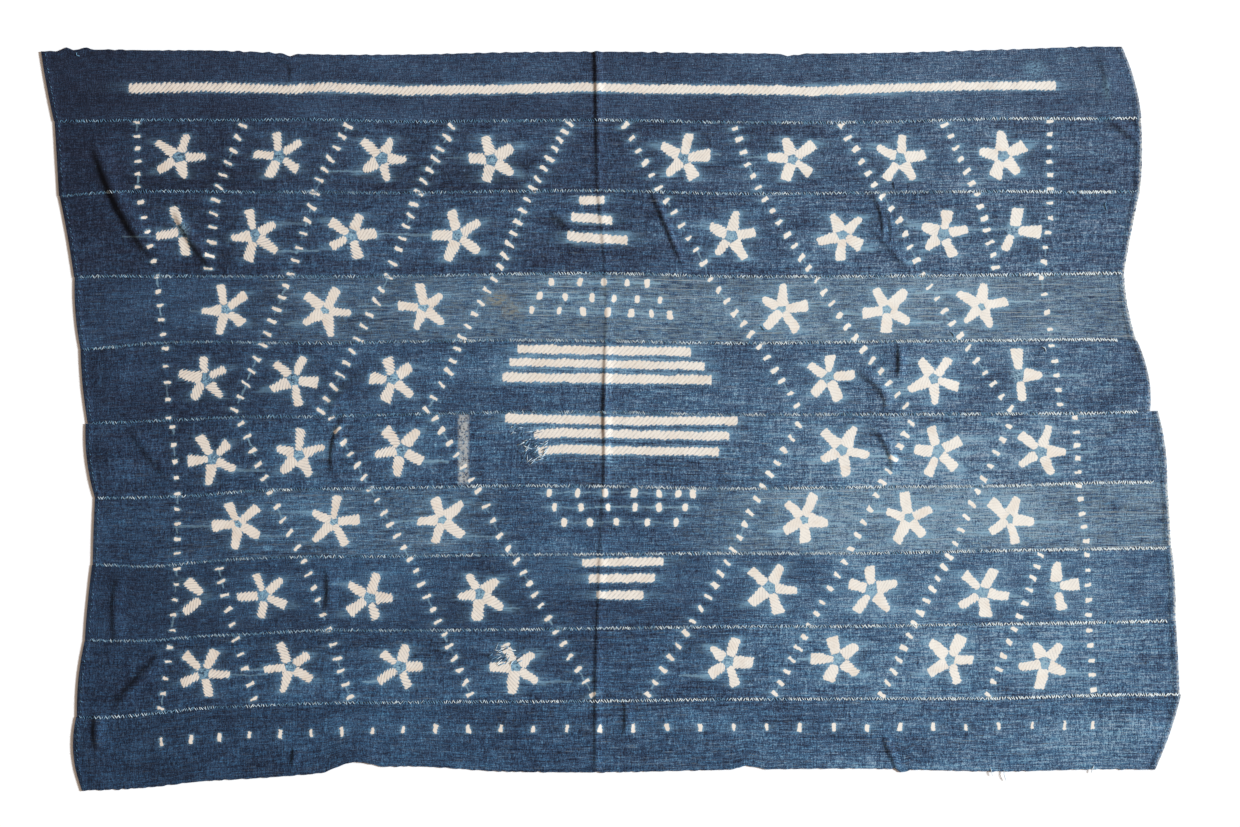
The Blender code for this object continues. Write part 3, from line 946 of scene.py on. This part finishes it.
def paint_cloth(mesh, strip, points, corner):
    """The thread coordinates, the tone, the wash, the wear, and the painted shade and light of the folds and
    creases of every corner.
    """
    x, y = points[:, 0], points[:, 1]
    high, low = line_y(strip, x), line_y(strip + 1, x)
    across = (high - y) / (high - low) * STRIP_WIDTH
    wash, middle = wash_at(x, y)
    dark, pale = painted_fold_light(x, y)
    flat = np.stack([x, across, np.full_like(x, SHEET_STEP * strip)], 1)
    tone = np.stack([tone_at(strip, x, y), wash, middle], 1)
    from_edge = np.minimum(across, STRIP_WIDTH - across)
    # Painted highlight along the strip's right end, which faces the light, and the scraped field
    inward = end_x(strip, 1, np.clip(across / STRIP_WIDTH, 0.0, 1.0)) - x
    end_highlight_and_scrape = LIT_END_OF_STRIP[strip] * np.clip(1 - inward / LIT_END_REACH, 0.0, 1.0)
    for *edges, strength in SCRAPED_FIELDS:
        end_highlight_and_scrape = np.maximum(end_highlight_and_scrape, strength * inside_field(x, y, *edges))
    streaks = STREAKS_OF_STRIP[strip] * np.interp(x, (-700, -350, 0), (0.45, 0.7, 1.0))
    for calm_strip, place, reach, fall in CALM_PLACES:
        if calm_strip == strip:
            streaks = streaks * (1 - fall * bump(np.abs(x - place) / reach))
    # Its third value is the painted shade of the folds and creases, less the painted light on their lit right
    # sides
    edge_streaks_painted_shade = np.stack([from_edge, streaks, dark - pale], 1)
    add_attribute(mesh, "flat", flat[corner])
    add_attribute(mesh, "tone", tone[corner])
    add_attribute(mesh, "edge_streaks_painted_shade", edge_streaks_painted_shade[corner])
    stained, scraped = marks_at(x, y)
    marks = np.stack([stained, scraped, end_highlight_and_scrape], 1)
    add_attribute(mesh, "marks", marks[corner])


class Value:
    """A shader value. Adding, subtracting, multiplying or dividing it adds a node that does so."""

    def __init__(self, graph, socket):
        self.graph = graph
        self.socket = socket

    def __add__(self, other):
        return self.graph.math("ADD", self, other)

    def __radd__(self, other):
        return self.graph.math("ADD", other, self)

    def __sub__(self, other):
        return self.graph.math("SUBTRACT", self, other)

    def __rsub__(self, other):
        return self.graph.math("SUBTRACT", other, self)

    def __mul__(self, other):
        return self.graph.math("MULTIPLY", self, other)

    def __truediv__(self, other):
        return self.graph.math("DIVIDE", self, other)


class Graph:
    """Short ways to add and link shader nodes."""

    def __init__(self, tree):
        self.tree = tree

    def put(self, socket, value):
        value = value.socket if isinstance(value, Value) else value
        if isinstance(value, bpy.types.NodeSocket):
            self.tree.links.new(value, socket)
        else:
            socket.default_value = value

    def put_all(self, sockets, **values):
        """Sets or links the sockets of the given names, where _ stands for a space."""
        for name, value in values.items():
            self.put(sockets[name.replace("_", " ")], value)

    def node(self, kind, **settings):
        made = self.tree.nodes.new(kind)
        for name, value in settings.items():
            setattr(made, name, value)
        return made

    def math(self, operation, first, second=0.0, clamp=False):
        made = self.node("ShaderNodeMath", operation=operation, use_clamp=clamp)
        self.put(made.inputs[0], first)
        self.put(made.inputs[1], second)
        return Value(self, made.outputs[0])

    def highest(self, first, second):
        return self.math("MAXIMUM", first, second)

    def size_of(self, value):
        return self.math("ABSOLUTE", value)

    def parts(self, vector):
        made = self.node("ShaderNodeSeparateXYZ")
        self.put(made.inputs[0], vector)
        return [Value(self, made.outputs[number]) for number in range(3)]

    def attribute(self, name):
        return self.node("ShaderNodeAttribute", attribute_name=name).outputs["Vector"]

    def noise(self, vector, size_x, size_y, detail):
        """Noise whose lumps are of the given sizes, in the vector's own unit."""
        scaled = self.node("ShaderNodeVectorMath", operation="MULTIPLY")
        self.put(scaled.inputs[0], vector)
        scaled.inputs[1].default_value = (1 / size_x, 1 / size_y, 1.0)
        made = self.node("ShaderNodeTexNoise", noise_dimensions="3D")
        self.put_all(made.inputs, Vector=scaled.outputs[0], Scale=1.0, Detail=detail,
                     Roughness=NOISE_ROUGHNESS)
        return Value(self, made.outputs["Fac"])

    def range(self, value, low, high, to_low=0.0, to_high=1.0, smooth=True):
        made = self.node("ShaderNodeMapRange")
        made.interpolation_type = "SMOOTHSTEP" if smooth else "LINEAR"
        for socket, item in zip(made.inputs, (value, low, high, to_low, to_high)):
            self.put(socket, item)
        return Value(self, made.outputs[0])

    def mask(self, flat, name):
        """An uneven mask, whose row in the table of masks has the given name."""
        size_x, size_y, detail, *limits = MASKS[name]
        return self.range(self.noise(flat, size_x, size_y, detail), *limits)

    def mix(self, factor, first, second, blend="MIX"):
        """A mix of two colours. A colour of three numbers is one as seen, 0 to 255."""
        made = self.node("ShaderNodeMix", data_type="RGBA", blend_type=blend)
        self.put(made.inputs["Factor"], factor)
        for socket, colour in ((made.inputs[6], first), (made.inputs[7], second)):
            seen = isinstance(colour, tuple) and len(colour) == 3
            self.put(socket, from_srgb(*colour) if seen else colour)
        return made.outputs[2]

    def tint(self, colour, factors):
        return self.mix(1.0, colour, factors, "MULTIPLY")

    def tints(self, side, colour, left, right):
        """The colour with one tint at the cloth's left and another at its right."""
        return self.mix(side, self.tint(colour, left), self.tint(colour, right))

    def ramp(self, place, rows):
        """A colour ramp, from rows of a place and a colour as seen."""
        made = self.node("ShaderNodeValToRGB")
        stops = made.color_ramp.elements
        while len(stops) < len(rows):
            stops.new(0.5)
        for stop, (position, colour) in zip(stops, rows):
            stop.position = position
            stop.color = from_srgb(*colour)
        self.put(made.inputs[0], place)
        return made.outputs[0]

    def surface(self, colour, **settings):
        """The shader of the material, linked to its output."""
        shader = self.node("ShaderNodeBsdfPrincipled")
        self.put_all(shader.inputs, Base_Color=colour, **settings)
        self.put(self.node("ShaderNodeOutputMaterial").inputs["Surface"], shader.outputs[0])


def new_material(name):
    """A material without nodes, and the graph that adds them."""
    material = bpy.data.materials.new(name)
    material.use_nodes = True
    material.node_tree.nodes.clear()
    return material, Graph(material.node_tree)


def from_srgb(red, green, blue):
    """A colour as seen, 0 to 255, as the linear colour that looks so under this light."""
    def linear(value):
        value /= 255
        return value / 12.92 if value <= 0.04045 else ((value + 0.055) / 1.055) ** 2.4
    return (linear(red) / FLAT_LIGHT, linear(green) / FLAT_LIGHT, linear(blue) / FLAT_LIGHT, 1.0)


def figure_group():
    """The node group of one figure: how white or pale it is here, how ribbed, and how far its edge is."""
    tree = bpy.data.node_groups.new("resist_figure", "ShaderNodeTree")
    for in_out, kind, names in (("INPUT", "NodeSocketVector", ("Near", "Size", "Look")),
                                ("INPUT", "NodeSocketFloat", ("Rough Edge", "Wander")),
                                ("OUTPUT", "NodeSocketFloat", ("White", "Pale", "Rib", "Outside"))):
        for name in names:
            tree.interface.new_socket(name, in_out=in_out, socket_type=kind)
    g = Graph(tree)
    given = g.node("NodeGroupInput").outputs
    along, across, sort = g.parts(given["Near"])
    long, half, taper = g.parts(given["Size"])
    strength, ribs, roundness = g.parts(given["Look"])
    wander = Value(g, given["Wander"])
    along = along + across * ((sort - 0.5) * SKEW)
    across = across + wander
    slant = along + across * -RIB_SLANT + wander * RIB_WANDER
    slant = slant * (1.0 + g.math("LESS_THAN", long, LONGEST_ARM) * FINER_RIBS)
    phase = slant / RIB_PITCH + sort * 9.0
    tooth = (g.size_of(g.math("SINE", phase * math.pi)) - TOOTH_MIDDLE) * (ribs * TOOTH_REACH)
    tapered = half * (1.0 + taper * (along / long))
    beyond_half = g.highest(g.size_of(across) - (tapered + tooth - roundness), 0.0)
    beyond_long = g.highest(g.size_of(along) - (long - roundness), 0.0)
    corner = beyond_half * beyond_half + beyond_long * beyond_long
    outside = g.math("SQRT", corner) - roundness + Value(g, given["Rough Edge"])
    inside = g.range(outside, 0.5, -0.5)
    is_white = g.math("GREATER_THAN", strength, 0.99)
    white = inside * is_white
    line = g.range(g.math("SINE", phase * (2 * math.pi)), 0.1, 1.0) * ribs
    output = g.node("NodeGroupOutput")
    g.put_all(output.inputs, White=white, Pale=inside * (strength * (1.0 - is_white)), Rib=line * white,
              Outside=outside + (1.0 - is_white) * TRACE_AWAY)
    return tree


def blue_place(g, flat, thread, tone, streaks, fold, wash, speckled, from_edge):
    """The place of the blue on the colour ramp, with its threads, bleeding, selvedge holes, and the painted
    shade and light of the folds and creases.
    """
    change = 0.0
    long_threads = g.math("MINIMUM", streaks, MOST_LONG_THREADS)
    for name, (_, _, _, weight, is_long) in WEAVE.items():
        lean = thread[name] - 0.5
        change = change + lean * (long_threads * weight if is_long else weight)
    place = tone + change * (0.56 + tone * 0.66)
    place = place + wash * g.mask(flat, "bleeding") * BLEED_TONE
    place = place + speckled * (0.34 + streaks * 0.30)
    place = place - g.range(from_edge, *SELVEDGE) * g.mask(flat, "selvedge holes") * HOLE_TONE
    # Painted shade darkens the blue on the shaded side of the folds and creases, and painted light pales it
    # on their lit side
    place = place - g.highest(fold, 0.0) * FOLD_SHADE_TONE
    return place + g.highest(fold * -1.0, 0.0) * g.mask(flat, "lit_side") * LIT_SIDE_TONE


def dyed_cotton(g, flat, place, tone, streaks, side):
    """The dyed ground: the blue, its tints, and the undyed, flecked and upright threads."""
    colour = g.ramp(place, INDIGO_RAMP)
    lower = g.parts(flat)[2] * (1 / LOWEST_SHEET)
    upper_colour = g.tints(side, colour, UPPER_LEFT_TINT, UPPER_RIGHT_TINT)
    lower_colour = g.tints(side, colour, LOWER_LEFT_TINT, LOWER_RIGHT_TINT)
    colour = g.mix(lower, upper_colour, lower_colour)
    colour = g.tints(g.mask(flat, "hue"), colour, PURPLE_THREAD, TEAL_THREAD)
    undyed = g.range(streaks, 0.65, 1.5) * UNDYED
    colour = g.mix(g.mask(flat, "undyed") * undyed, colour, UNDYED_GREY)
    fleck = g.math("MULTIPLY", g.mask(flat, "fleck"), streaks * (tone * 0.7), clamp=True)
    colour = g.mix(fleck, colour, FLECK_GREY)
    slub = g.math("MULTIPLY", g.mask(flat, "slub"), (streaks - 0.7) * 0.9, clamp=True)
    colour = g.mix(slub, colour, SLUB_WHITE)
    return g.mix(g.mask(flat, "upright") * (tone * 0.60), colour, UPRIGHT_BLUE)


def cotton_material(name, figure):
    """Indigo handwoven cotton: threads, streaks, flecks, bleeding, wear, painted shade and light at the folds
    and creases, and the white figures.
    """
    material, g = new_material(name)
    flat = g.attribute("flat")
    tone, wash, middle = g.parts(g.attribute("tone"))
    # fold: painted shade of the folds and creases where positive, painted light on their lit sides where
    # negative
    from_edge, streaks, fold = g.parts(g.attribute("edge_streaks_painted_shade"))
    thread = {name: g.noise(flat, *row[:3]) for name, row in WEAVE.items()}
    speckled = middle * g.mask(flat, "speckled")
    place = blue_place(g, flat, thread, tone, streaks, fold, wash, speckled, from_edge)
    side = g.range(g.parts(flat)[0], *TINTS_FROM_TO, smooth=False)
    colour = dyed_cotton(g, flat, place, tone, streaks, side)
    # The third mark is the painted highlight along the lit right ends, with the scraped field
    for mark, mask, mark_colour in zip(g.parts(g.attribute("marks")), ("stain", "scrape", "end_highlight_and_scrape"),
                                       (STAIN_BROWN, BLEED_BLUE, END_HIGHLIGHT_AND_SCRAPE_WHITE)):
        colour = g.mix(mark * g.mask(flat, mask), colour, mark_colour)

    rough_edge = (g.noise(flat, *ROUGH_EDGE[:3]) - 0.5) * ROUGH_EDGE[3]
    wander = (g.noise(flat, *WANDER[:3]) - 0.5) * WANDER[3]
    made = []
    for letter in "ab":
        drawn = g.node("ShaderNodeGroup", node_tree=figure)
        g.put_all(drawn.inputs, Near=g.attribute("near_" + letter), Size=g.attribute("size_" + letter),
                  Look=g.attribute("look_" + letter), Rough_Edge=rough_edge, Wander=wander)
        made.append(drawn.outputs)
    white, pale, rib = (g.highest(made[0][name], made[1][name]) for name in ("White", "Pale", "Rib"))
    outside = g.math("MINIMUM", made[0]["Outside"], made[1]["Outside"])
    bled = g.math("POWER", wash, 1.3) * g.mask(flat, "bled")
    colour = g.mix(bled * BLED, colour, BLEED_BLUE)
    centre_white = g.math("MULTIPLY", speckled, 0.25 + streaks * 0.35, clamp=True)
    colour = g.mix(centre_white, colour, CENTRE_BLUE)
    fringe = g.range(outside, *FRINGE_FROM_TO) * g.mask(flat, "fringe")
    colour = g.mix(fringe * FRINGE, colour, BLEED_BLUE)
    colour = g.mix(pale, colour, LINK_BLUE)
    cream = g.mix(g.mask(flat, "white grain") * WHITE_GRAIN, RESIST_WHITE, RESIST_SHADE)
    cream = g.mix(g.mask(flat, "warm") * WARM, cream, RESIST_WARM)
    # The ribs' darker lines are painted shade between the raised ribs of the white figures
    rib_colour = g.mix(g.mask(flat, "rib colour"), RIB_BLUE, RIB_BROWN)
    cream = g.mix(rib * g.mask(flat, "ribbed") * RIBBED, cream, rib_colour)
    # Painted falloff of the light: the whites darker towards the left, away from the light
    cream = g.tints(side, cream, LEFT_WHITE, RIGHT_WHITE)
    # Painted shade browns the white figures on the shaded side of the folds and creases
    cream = g.mix(g.highest(fold, 0.0) * FOLD_SHADE_ON_WHITE, cream, FOLD_SHADE_BROWN)
    colour = g.mix(white, colour, cream)

    height = thread["warp"] * 0.4 + thread["weft"] * 0.4 + thread["short_warp"] * 0.7
    height = height + thread["short_weft"] * 0.7 + white * 0.4 - rib * 0.7
    weave = g.node("ShaderNodeBump")
    g.put_all(weave.inputs, Strength=0.5, Distance=WEAVE_DEPTH, Height=height)
    g.surface(colour, Roughness=0.92, Specular_IOR_Level=0.15, Sheen_Weight=0.05, Sheen_Roughness=0.5,
              Normal=weave.outputs[0])
    return material


def add_piece(name, mesh):
    piece = bpy.data.objects.new(name, mesh)
    bpy.context.scene.collection.objects.link(piece)
    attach(piece, "root")
    return piece


def add_uv(mesh, strip):
    """Lays the strip's two faces out as eight rows, four lengths of each, so that they fill a square."""
    points, corner, face, centres = mesh_arrays(mesh)
    left, right = points[:, 0].min(), points[:, 0].max()
    span = (right - left) / UV_LENGTHS
    facing = read_values(mesh.polygons, "normal", 3)
    under = (facing[face, 2] < 0).astype(int)
    length = np.clip(((centres[face, 0] - left) / span).astype(int), 0, UV_LENGTHS - 1)
    x, y = points[corner, 0], points[corner, 1]
    across = (line_y(strip, x) - y) / STRIP_WIDTH
    row = length + UV_LENGTHS * under
    u = 0.02 + 0.96 * ((x - left) / span - length)
    v = (row + 0.03 + 0.90 * across) / (2 * UV_LENGTHS)
    layer = mesh.uv_layers.new(name="OFBake")
    layer.data.foreach_set("uv", np.clip(np.stack([u, v], 1), 0, 1).astype(np.float32).ravel())


def make_strips():
    figure = figure_group()
    materials = {slot: cotton_material(f"{slot}_cotton", figure) for slot in sorted(set(SLOT_OF_STRIP))}
    for strip in range(STRIPS):
        grid = Strip(strip)
        mesh = make_sheet(grid)
        points, corner, face, centres = mesh_arrays(mesh)
        paint_figures(mesh, points, corner, face, centres)
        paint_cloth(mesh, strip, points, corner)
        add_uv(mesh, strip)
        slot = SLOT_OF_STRIP[strip]
        mesh.materials.append(materials[slot])
        piece = add_piece(f"cloth_strip_{strip + 1:02d}", mesh)
        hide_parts(f"strip_{strip + 1:02d}")


# Sewing: stitches leave every few millimetres, cross the seam at a slant, and lie in a shallow arch
STITCH_PITCH = 2.9
STITCH_REACH = 2.3
STITCH_SLANT = 1.4
THREAD_RADIUS = 0.64
THREAD_SIDES = 5
STITCH_RISE = 0.25
HEM_STITCH_INSET = 5.6
RIGHT_STITCH_INSET = 4.0
HEM_STITCH_PITCH = 6.5
# How pale the thread of each seam is, beside the others
SEAM_TONE = (0.82, 0.86, 0.98, 1.00, 0.84, 1.08, 1.04, 1.00, 1.10)
# How faded the thread is along X: x, tone from blue (0) to off-white (1)
THREAD_FADE = ((-700, 0.66), (-350, 0.66), (0, 0.92), (500, 1.08), (600, 1.30), (800, 1.36))
THREAD_RAMP = (
    (0.0, (44, 64, 92)),
    (0.5, (104, 148, 178)),
    (1.0, (230, 240, 242)),
)
# The length of a thread's lighter and darker turns, in metres
THREAD_TWIST = 0.0009
THICKNESS_PLACES = (-600, -100, 450, 600)
THICKNESS_SHARES = (0.85, 1.0, 1.05, 1.45)
# Darned holes: x, y of a corner, x, y of the other corner, number of threads
DARNS = ((-126, -32, -90, -62, 52), (-142, -8, -100, -32, 20), (-172, -315, -127, -343, 30))
# Loose ends of thread: x, y of the start, x, y of the end, tone
LOOSE_ENDS = (
    (527, -486, 530, -497, 0.9), (546, -489, 549, -504, 0.8), (671, -483, 667, -493, 0.9),
    (392, 329, 394, 318, 0.0), (-742, 508, -738, 503, 0.5), (688, 300, 689, 288, 0.5),
    (604, 92, 598, 99, 0.9), (470, 120, 476, 112, 0.5), (208, 128, 214, 122, 0.3),
)


def add_tube(points_list, radius, tone, store):
    """Adds a tapered thread along a few points to the store of points, faces and tones."""
    points = np.array(points_list, float)
    first = len(store["points"])
    last_ring = len(points) - 1
    for number, point in enumerate(points):
        before = points[max(number - 1, 0)]
        after = points[min(number + 1, last_ring)]
        line = after - before
        line = line / np.linalg.norm(line)
        side = np.cross(line, (0.0, 0.0, 1.0))
        side = side / np.linalg.norm(side)
        up = np.cross(side, line)
        size = radius * (0.55 if number in (0, last_ring) else 1.0)
        for turn in range(THREAD_SIDES):
            angle = 2 * math.pi * turn / THREAD_SIDES
            store["points"].append(tuple(point + size * (math.cos(angle) * side + math.sin(angle) * up)))
            store["tones"].append(tone)
    for ring in range(last_ring):
        for turn in range(THREAD_SIDES):
            here = first + ring * THREAD_SIDES + turn
            beside = first + ring * THREAD_SIDES + (turn + 1) % THREAD_SIDES
            store["faces"].append((here, beside, beside + THREAD_SIDES, here + THREAD_SIDES))
    store["faces"].append(tuple(first + turn for turn in reversed(range(THREAD_SIDES))))
    store["faces"].append(tuple(first + last_ring * THREAD_SIDES + turn for turn in range(THREAD_SIDES)))


def new_store():
    return {"points": [], "faces": [], "tones": []}


def thread_mesh(name, store):
    mesh = bpy.data.meshes.new(name)
    points = [(MM * (x - CENTRE[0]), MM * (y - CENTRE[1]), MM * z) for x, y, z in store["points"]]
    mesh.from_pydata(points, [], store["faces"])
    attribute = mesh.attributes.new("thread", "FLOAT", "POINT")
    attribute.data.foreach_set("value", np.array(store["tones"], np.float32))
    mesh.shade_smooth()
    return mesh


def thread_material():
    """Cotton sewing thread, from dyed blue to nearly white."""
    material, g = new_material("sewing_thread_cotton")
    tone = Value(g, g.node("ShaderNodeAttribute", attribute_name="thread").outputs["Fac"])
    place = g.node("ShaderNodeTexCoord").outputs["Object"]
    twist = g.noise(place, THREAD_TWIST, THREAD_TWIST, 1.0)
    colour = g.ramp(tone + (twist - 0.5) * 0.5, THREAD_RAMP)
    g.surface(colour, Roughness=0.85, Specular_IOR_Level=0.25)
    return material


def seam_stitches(seam, draw):
    """Slanted overcast stitches along one seam."""
    left = max(ENDS[seam - 1][2], ENDS[seam][0]) + 2
    right = min(ENDS[seam - 1][5], ENDS[seam][3]) - 2
    steps = STITCH_PITCH * draw.uniform(0.6, 1.4, int((right - left) / STITCH_PITCH) + 1)
    x = left + np.cumsum(steps)
    x = x[x < right]
    y = line_y(seam, x) + draw.uniform(-0.4, 0.4, len(x))
    top = relief(x, y) + SHEET + 0.35
    store = new_store()
    clumps = 0.86 + 0.26 * uneven(x, 0 * x, 70, 70, SEED + 50 + seam)
    for place, seam_y, height, clump in zip(x, y, top, clumps):
        reach = STITCH_REACH * draw.uniform(0.7, 1.2)
        slant = STITCH_SLANT * draw.uniform(0.4, 1.6) * draw.choice((1, 1, -1))
        points = [
            (place - slant, seam_y + reach, height - 0.55),
            (place - slant * 0.5, seam_y + reach * 0.5, height + STITCH_RISE * 0.7),
            (place + slant * 0.5, seam_y - reach * 0.5, height + STITCH_RISE * 0.7),
            (place + slant, seam_y - reach, height - 0.55),
        ]
        tone = fade_at(place) * clump * SEAM_TONE[seam - 1] + draw.uniform(-0.3, 0.2)
        thick = np.interp(place, THICKNESS_PLACES, THICKNESS_SHARES) * draw.uniform(0.7, 1.25)
        add_tube(points, THREAD_RADIUS * thick, tone, store)
    return store


def fade_at(x):
    return np.interp(x, [place for place, _ in THREAD_FADE], [tone for _, tone in THREAD_FADE])


def hem_stitches(draw):
    """Small slanted stitches that hold the turned-in short ends."""
    store = new_store()
    for side, inward in ((0, 1), (1, -1)):
        for strip in range(STRIPS):
            across = draw.uniform(0.0, 0.05)
            while across < 0.97:
                inset = HEM_STITCH_INSET if side == 0 else RIGHT_STITCH_INSET
                x = end_x(strip, side, across) + inward * (inset + draw.uniform(-0.6, 0.6))
                high, low = line_y(strip, np.array([x]))[0], line_y(strip + 1, np.array([x]))[0]
                y = high + (low - high) * across
                top = SHEET + HEM_EXTRA + relief(np.array([x]), np.array([y]))[0] * 0.45
                points = [(x - 0.9, y + 1.7, top - 0.3), (x, y, top + 0.35), (x + 0.9, y - 1.7, top - 0.3)]
                tone = draw.uniform(0.05, 0.45)
                add_tube(points, THREAD_RADIUS * draw.uniform(0.6, 1.0), tone, store)
                across += HEM_STITCH_PITCH * draw.uniform(0.6, 1.5) / STRIP_WIDTH
    return store


def darning(draw):
    """Short slanted threads drawn over the threadbare places."""
    store = new_store()
    for x0, y0, x1, y1, count in DARNS:
        for _ in range(count):
            x, y = draw.uniform(x0, x1), draw.uniform(y1, y0)
            turn = math.radians(draw.normal(28, 22))
            reach = draw.uniform(2.5, 7.0)
            top = top_of(x, y) + 0.35
            step = (reach * math.cos(turn), reach * math.sin(turn))
            points = [(x - step[0], y - step[1], top - 0.5), (x, y + draw.uniform(-0.5, 0.5), top + 0.45),
                      (x + step[0], y + step[1], top - 0.5)]
            add_tube(points, THREAD_RADIUS * draw.uniform(0.6, 1.1), draw.choice((0.1, 0.5, 0.8, 1.0)), store)
    return store


def loose_ends(draw):
    """Thread ends that have come out of the cloth, as small bent curls."""
    store = new_store()
    for x0, y0, x1, y1, tone in LOOSE_ENDS:
        height = top_of((x0 + x1) / 2, (y0 + y1) / 2)
        bend = draw.uniform(-2.5, 2.5, 2)
        points = []
        for share in np.linspace(0, 1, 6):
            swing = math.sin(share * math.pi)
            points.append((x0 + (x1 - x0) * share + bend[0] * swing, y0 + (y1 - y0) * share + bend[1] * swing,
                           height + 0.3 + 0.9 * swing))
        add_tube(points, THREAD_RADIUS * 0.85, tone, store)
    return store


def make_sewing():
    material = thread_material()
    draw = np.random.default_rng(SEED + 2)
    for seam in range(1, STRIPS):
        mesh = thread_mesh(f"seam_{seam}", seam_stitches(seam, draw))
        mesh.materials.append(material)
        add_piece(f"seam_sewing_{seam}", mesh)
    for name, sew in (("hem_sewing", hem_stitches), ("darning", darning), ("loose_ends", loose_ends)):
        mesh = thread_mesh(name, sew(draw))
        mesh.materials.append(material)
        add_piece(name, mesh)


# Stage, light and camera
PHOTO_MM_PER_PIXEL = 1.39
PHOTO_SIZE = (1240, 827)
PHOTO_MIDDLE = (12.5, 6.3)
CAMERA_HEIGHT = 4.2
SENSOR = 36.0
FLOOR_SIDE = 60.0
KEY_ELEVATION = math.radians(31)
KEY_AZIMUTH = math.radians(8)


def make_stage():
    bpy.ops.mesh.primitive_plane_add(size=FLOOR_SIDE, location=(0, 0, -0.0004))
    floor = bpy.context.object
    floor.name = "floor"
    material = bpy.data.materials.new("pale_floor")
    material.use_nodes = True
    shader = material.node_tree.nodes["Principled BSDF"]
    shader.inputs["Base Color"].default_value = (0.95, 0.95, 0.95, 1.0)
    shader.inputs["Roughness"].default_value = 1.0
    shader.inputs["Specular IOR Level"].default_value = 0.0
    floor.data.materials.append(material)


def make_light():
    world = bpy.data.worlds.new("soft_fill")
    bpy.context.scene.world = world
    world.use_nodes = True
    background = world.node_tree.nodes["Background"]
    background.inputs["Color"].default_value = (1.0, 0.78, 0.62, 1.0)
    background.inputs["Strength"].default_value = 0.36
    key = bpy.data.lights.new("key", "SUN")
    key.energy = 4.8
    key.angle = math.radians(14)
    key.color = (0.97, 1.06, 1.14)
    lamp = bpy.data.objects.new("key", key)
    bpy.context.scene.collection.objects.link(lamp)
    lamp.rotation_euler = (0.0, math.pi / 2 - KEY_ELEVATION, KEY_AZIMUTH)


def make_camera():
    camera = bpy.data.cameras.new("camera")
    camera.sensor_width = SENSOR
    width = MM * PHOTO_MM_PER_PIXEL * PHOTO_SIZE[0]
    camera.lens = SENSOR * CAMERA_HEIGHT / width
    camera.clip_end = 100.0
    view = bpy.data.objects.new("camera", camera)
    view.location = (MM * (PHOTO_MIDDLE[0] - CENTRE[0]), MM * (PHOTO_MIDDLE[1] - CENTRE[1]), CAMERA_HEIGHT)
    bpy.context.scene.collection.objects.link(view)
    bpy.context.scene.camera = view


make_strips()
make_sewing()
make_stage()
make_light()
make_camera()
bpy.context.scene.view_settings.view_transform = "Standard"
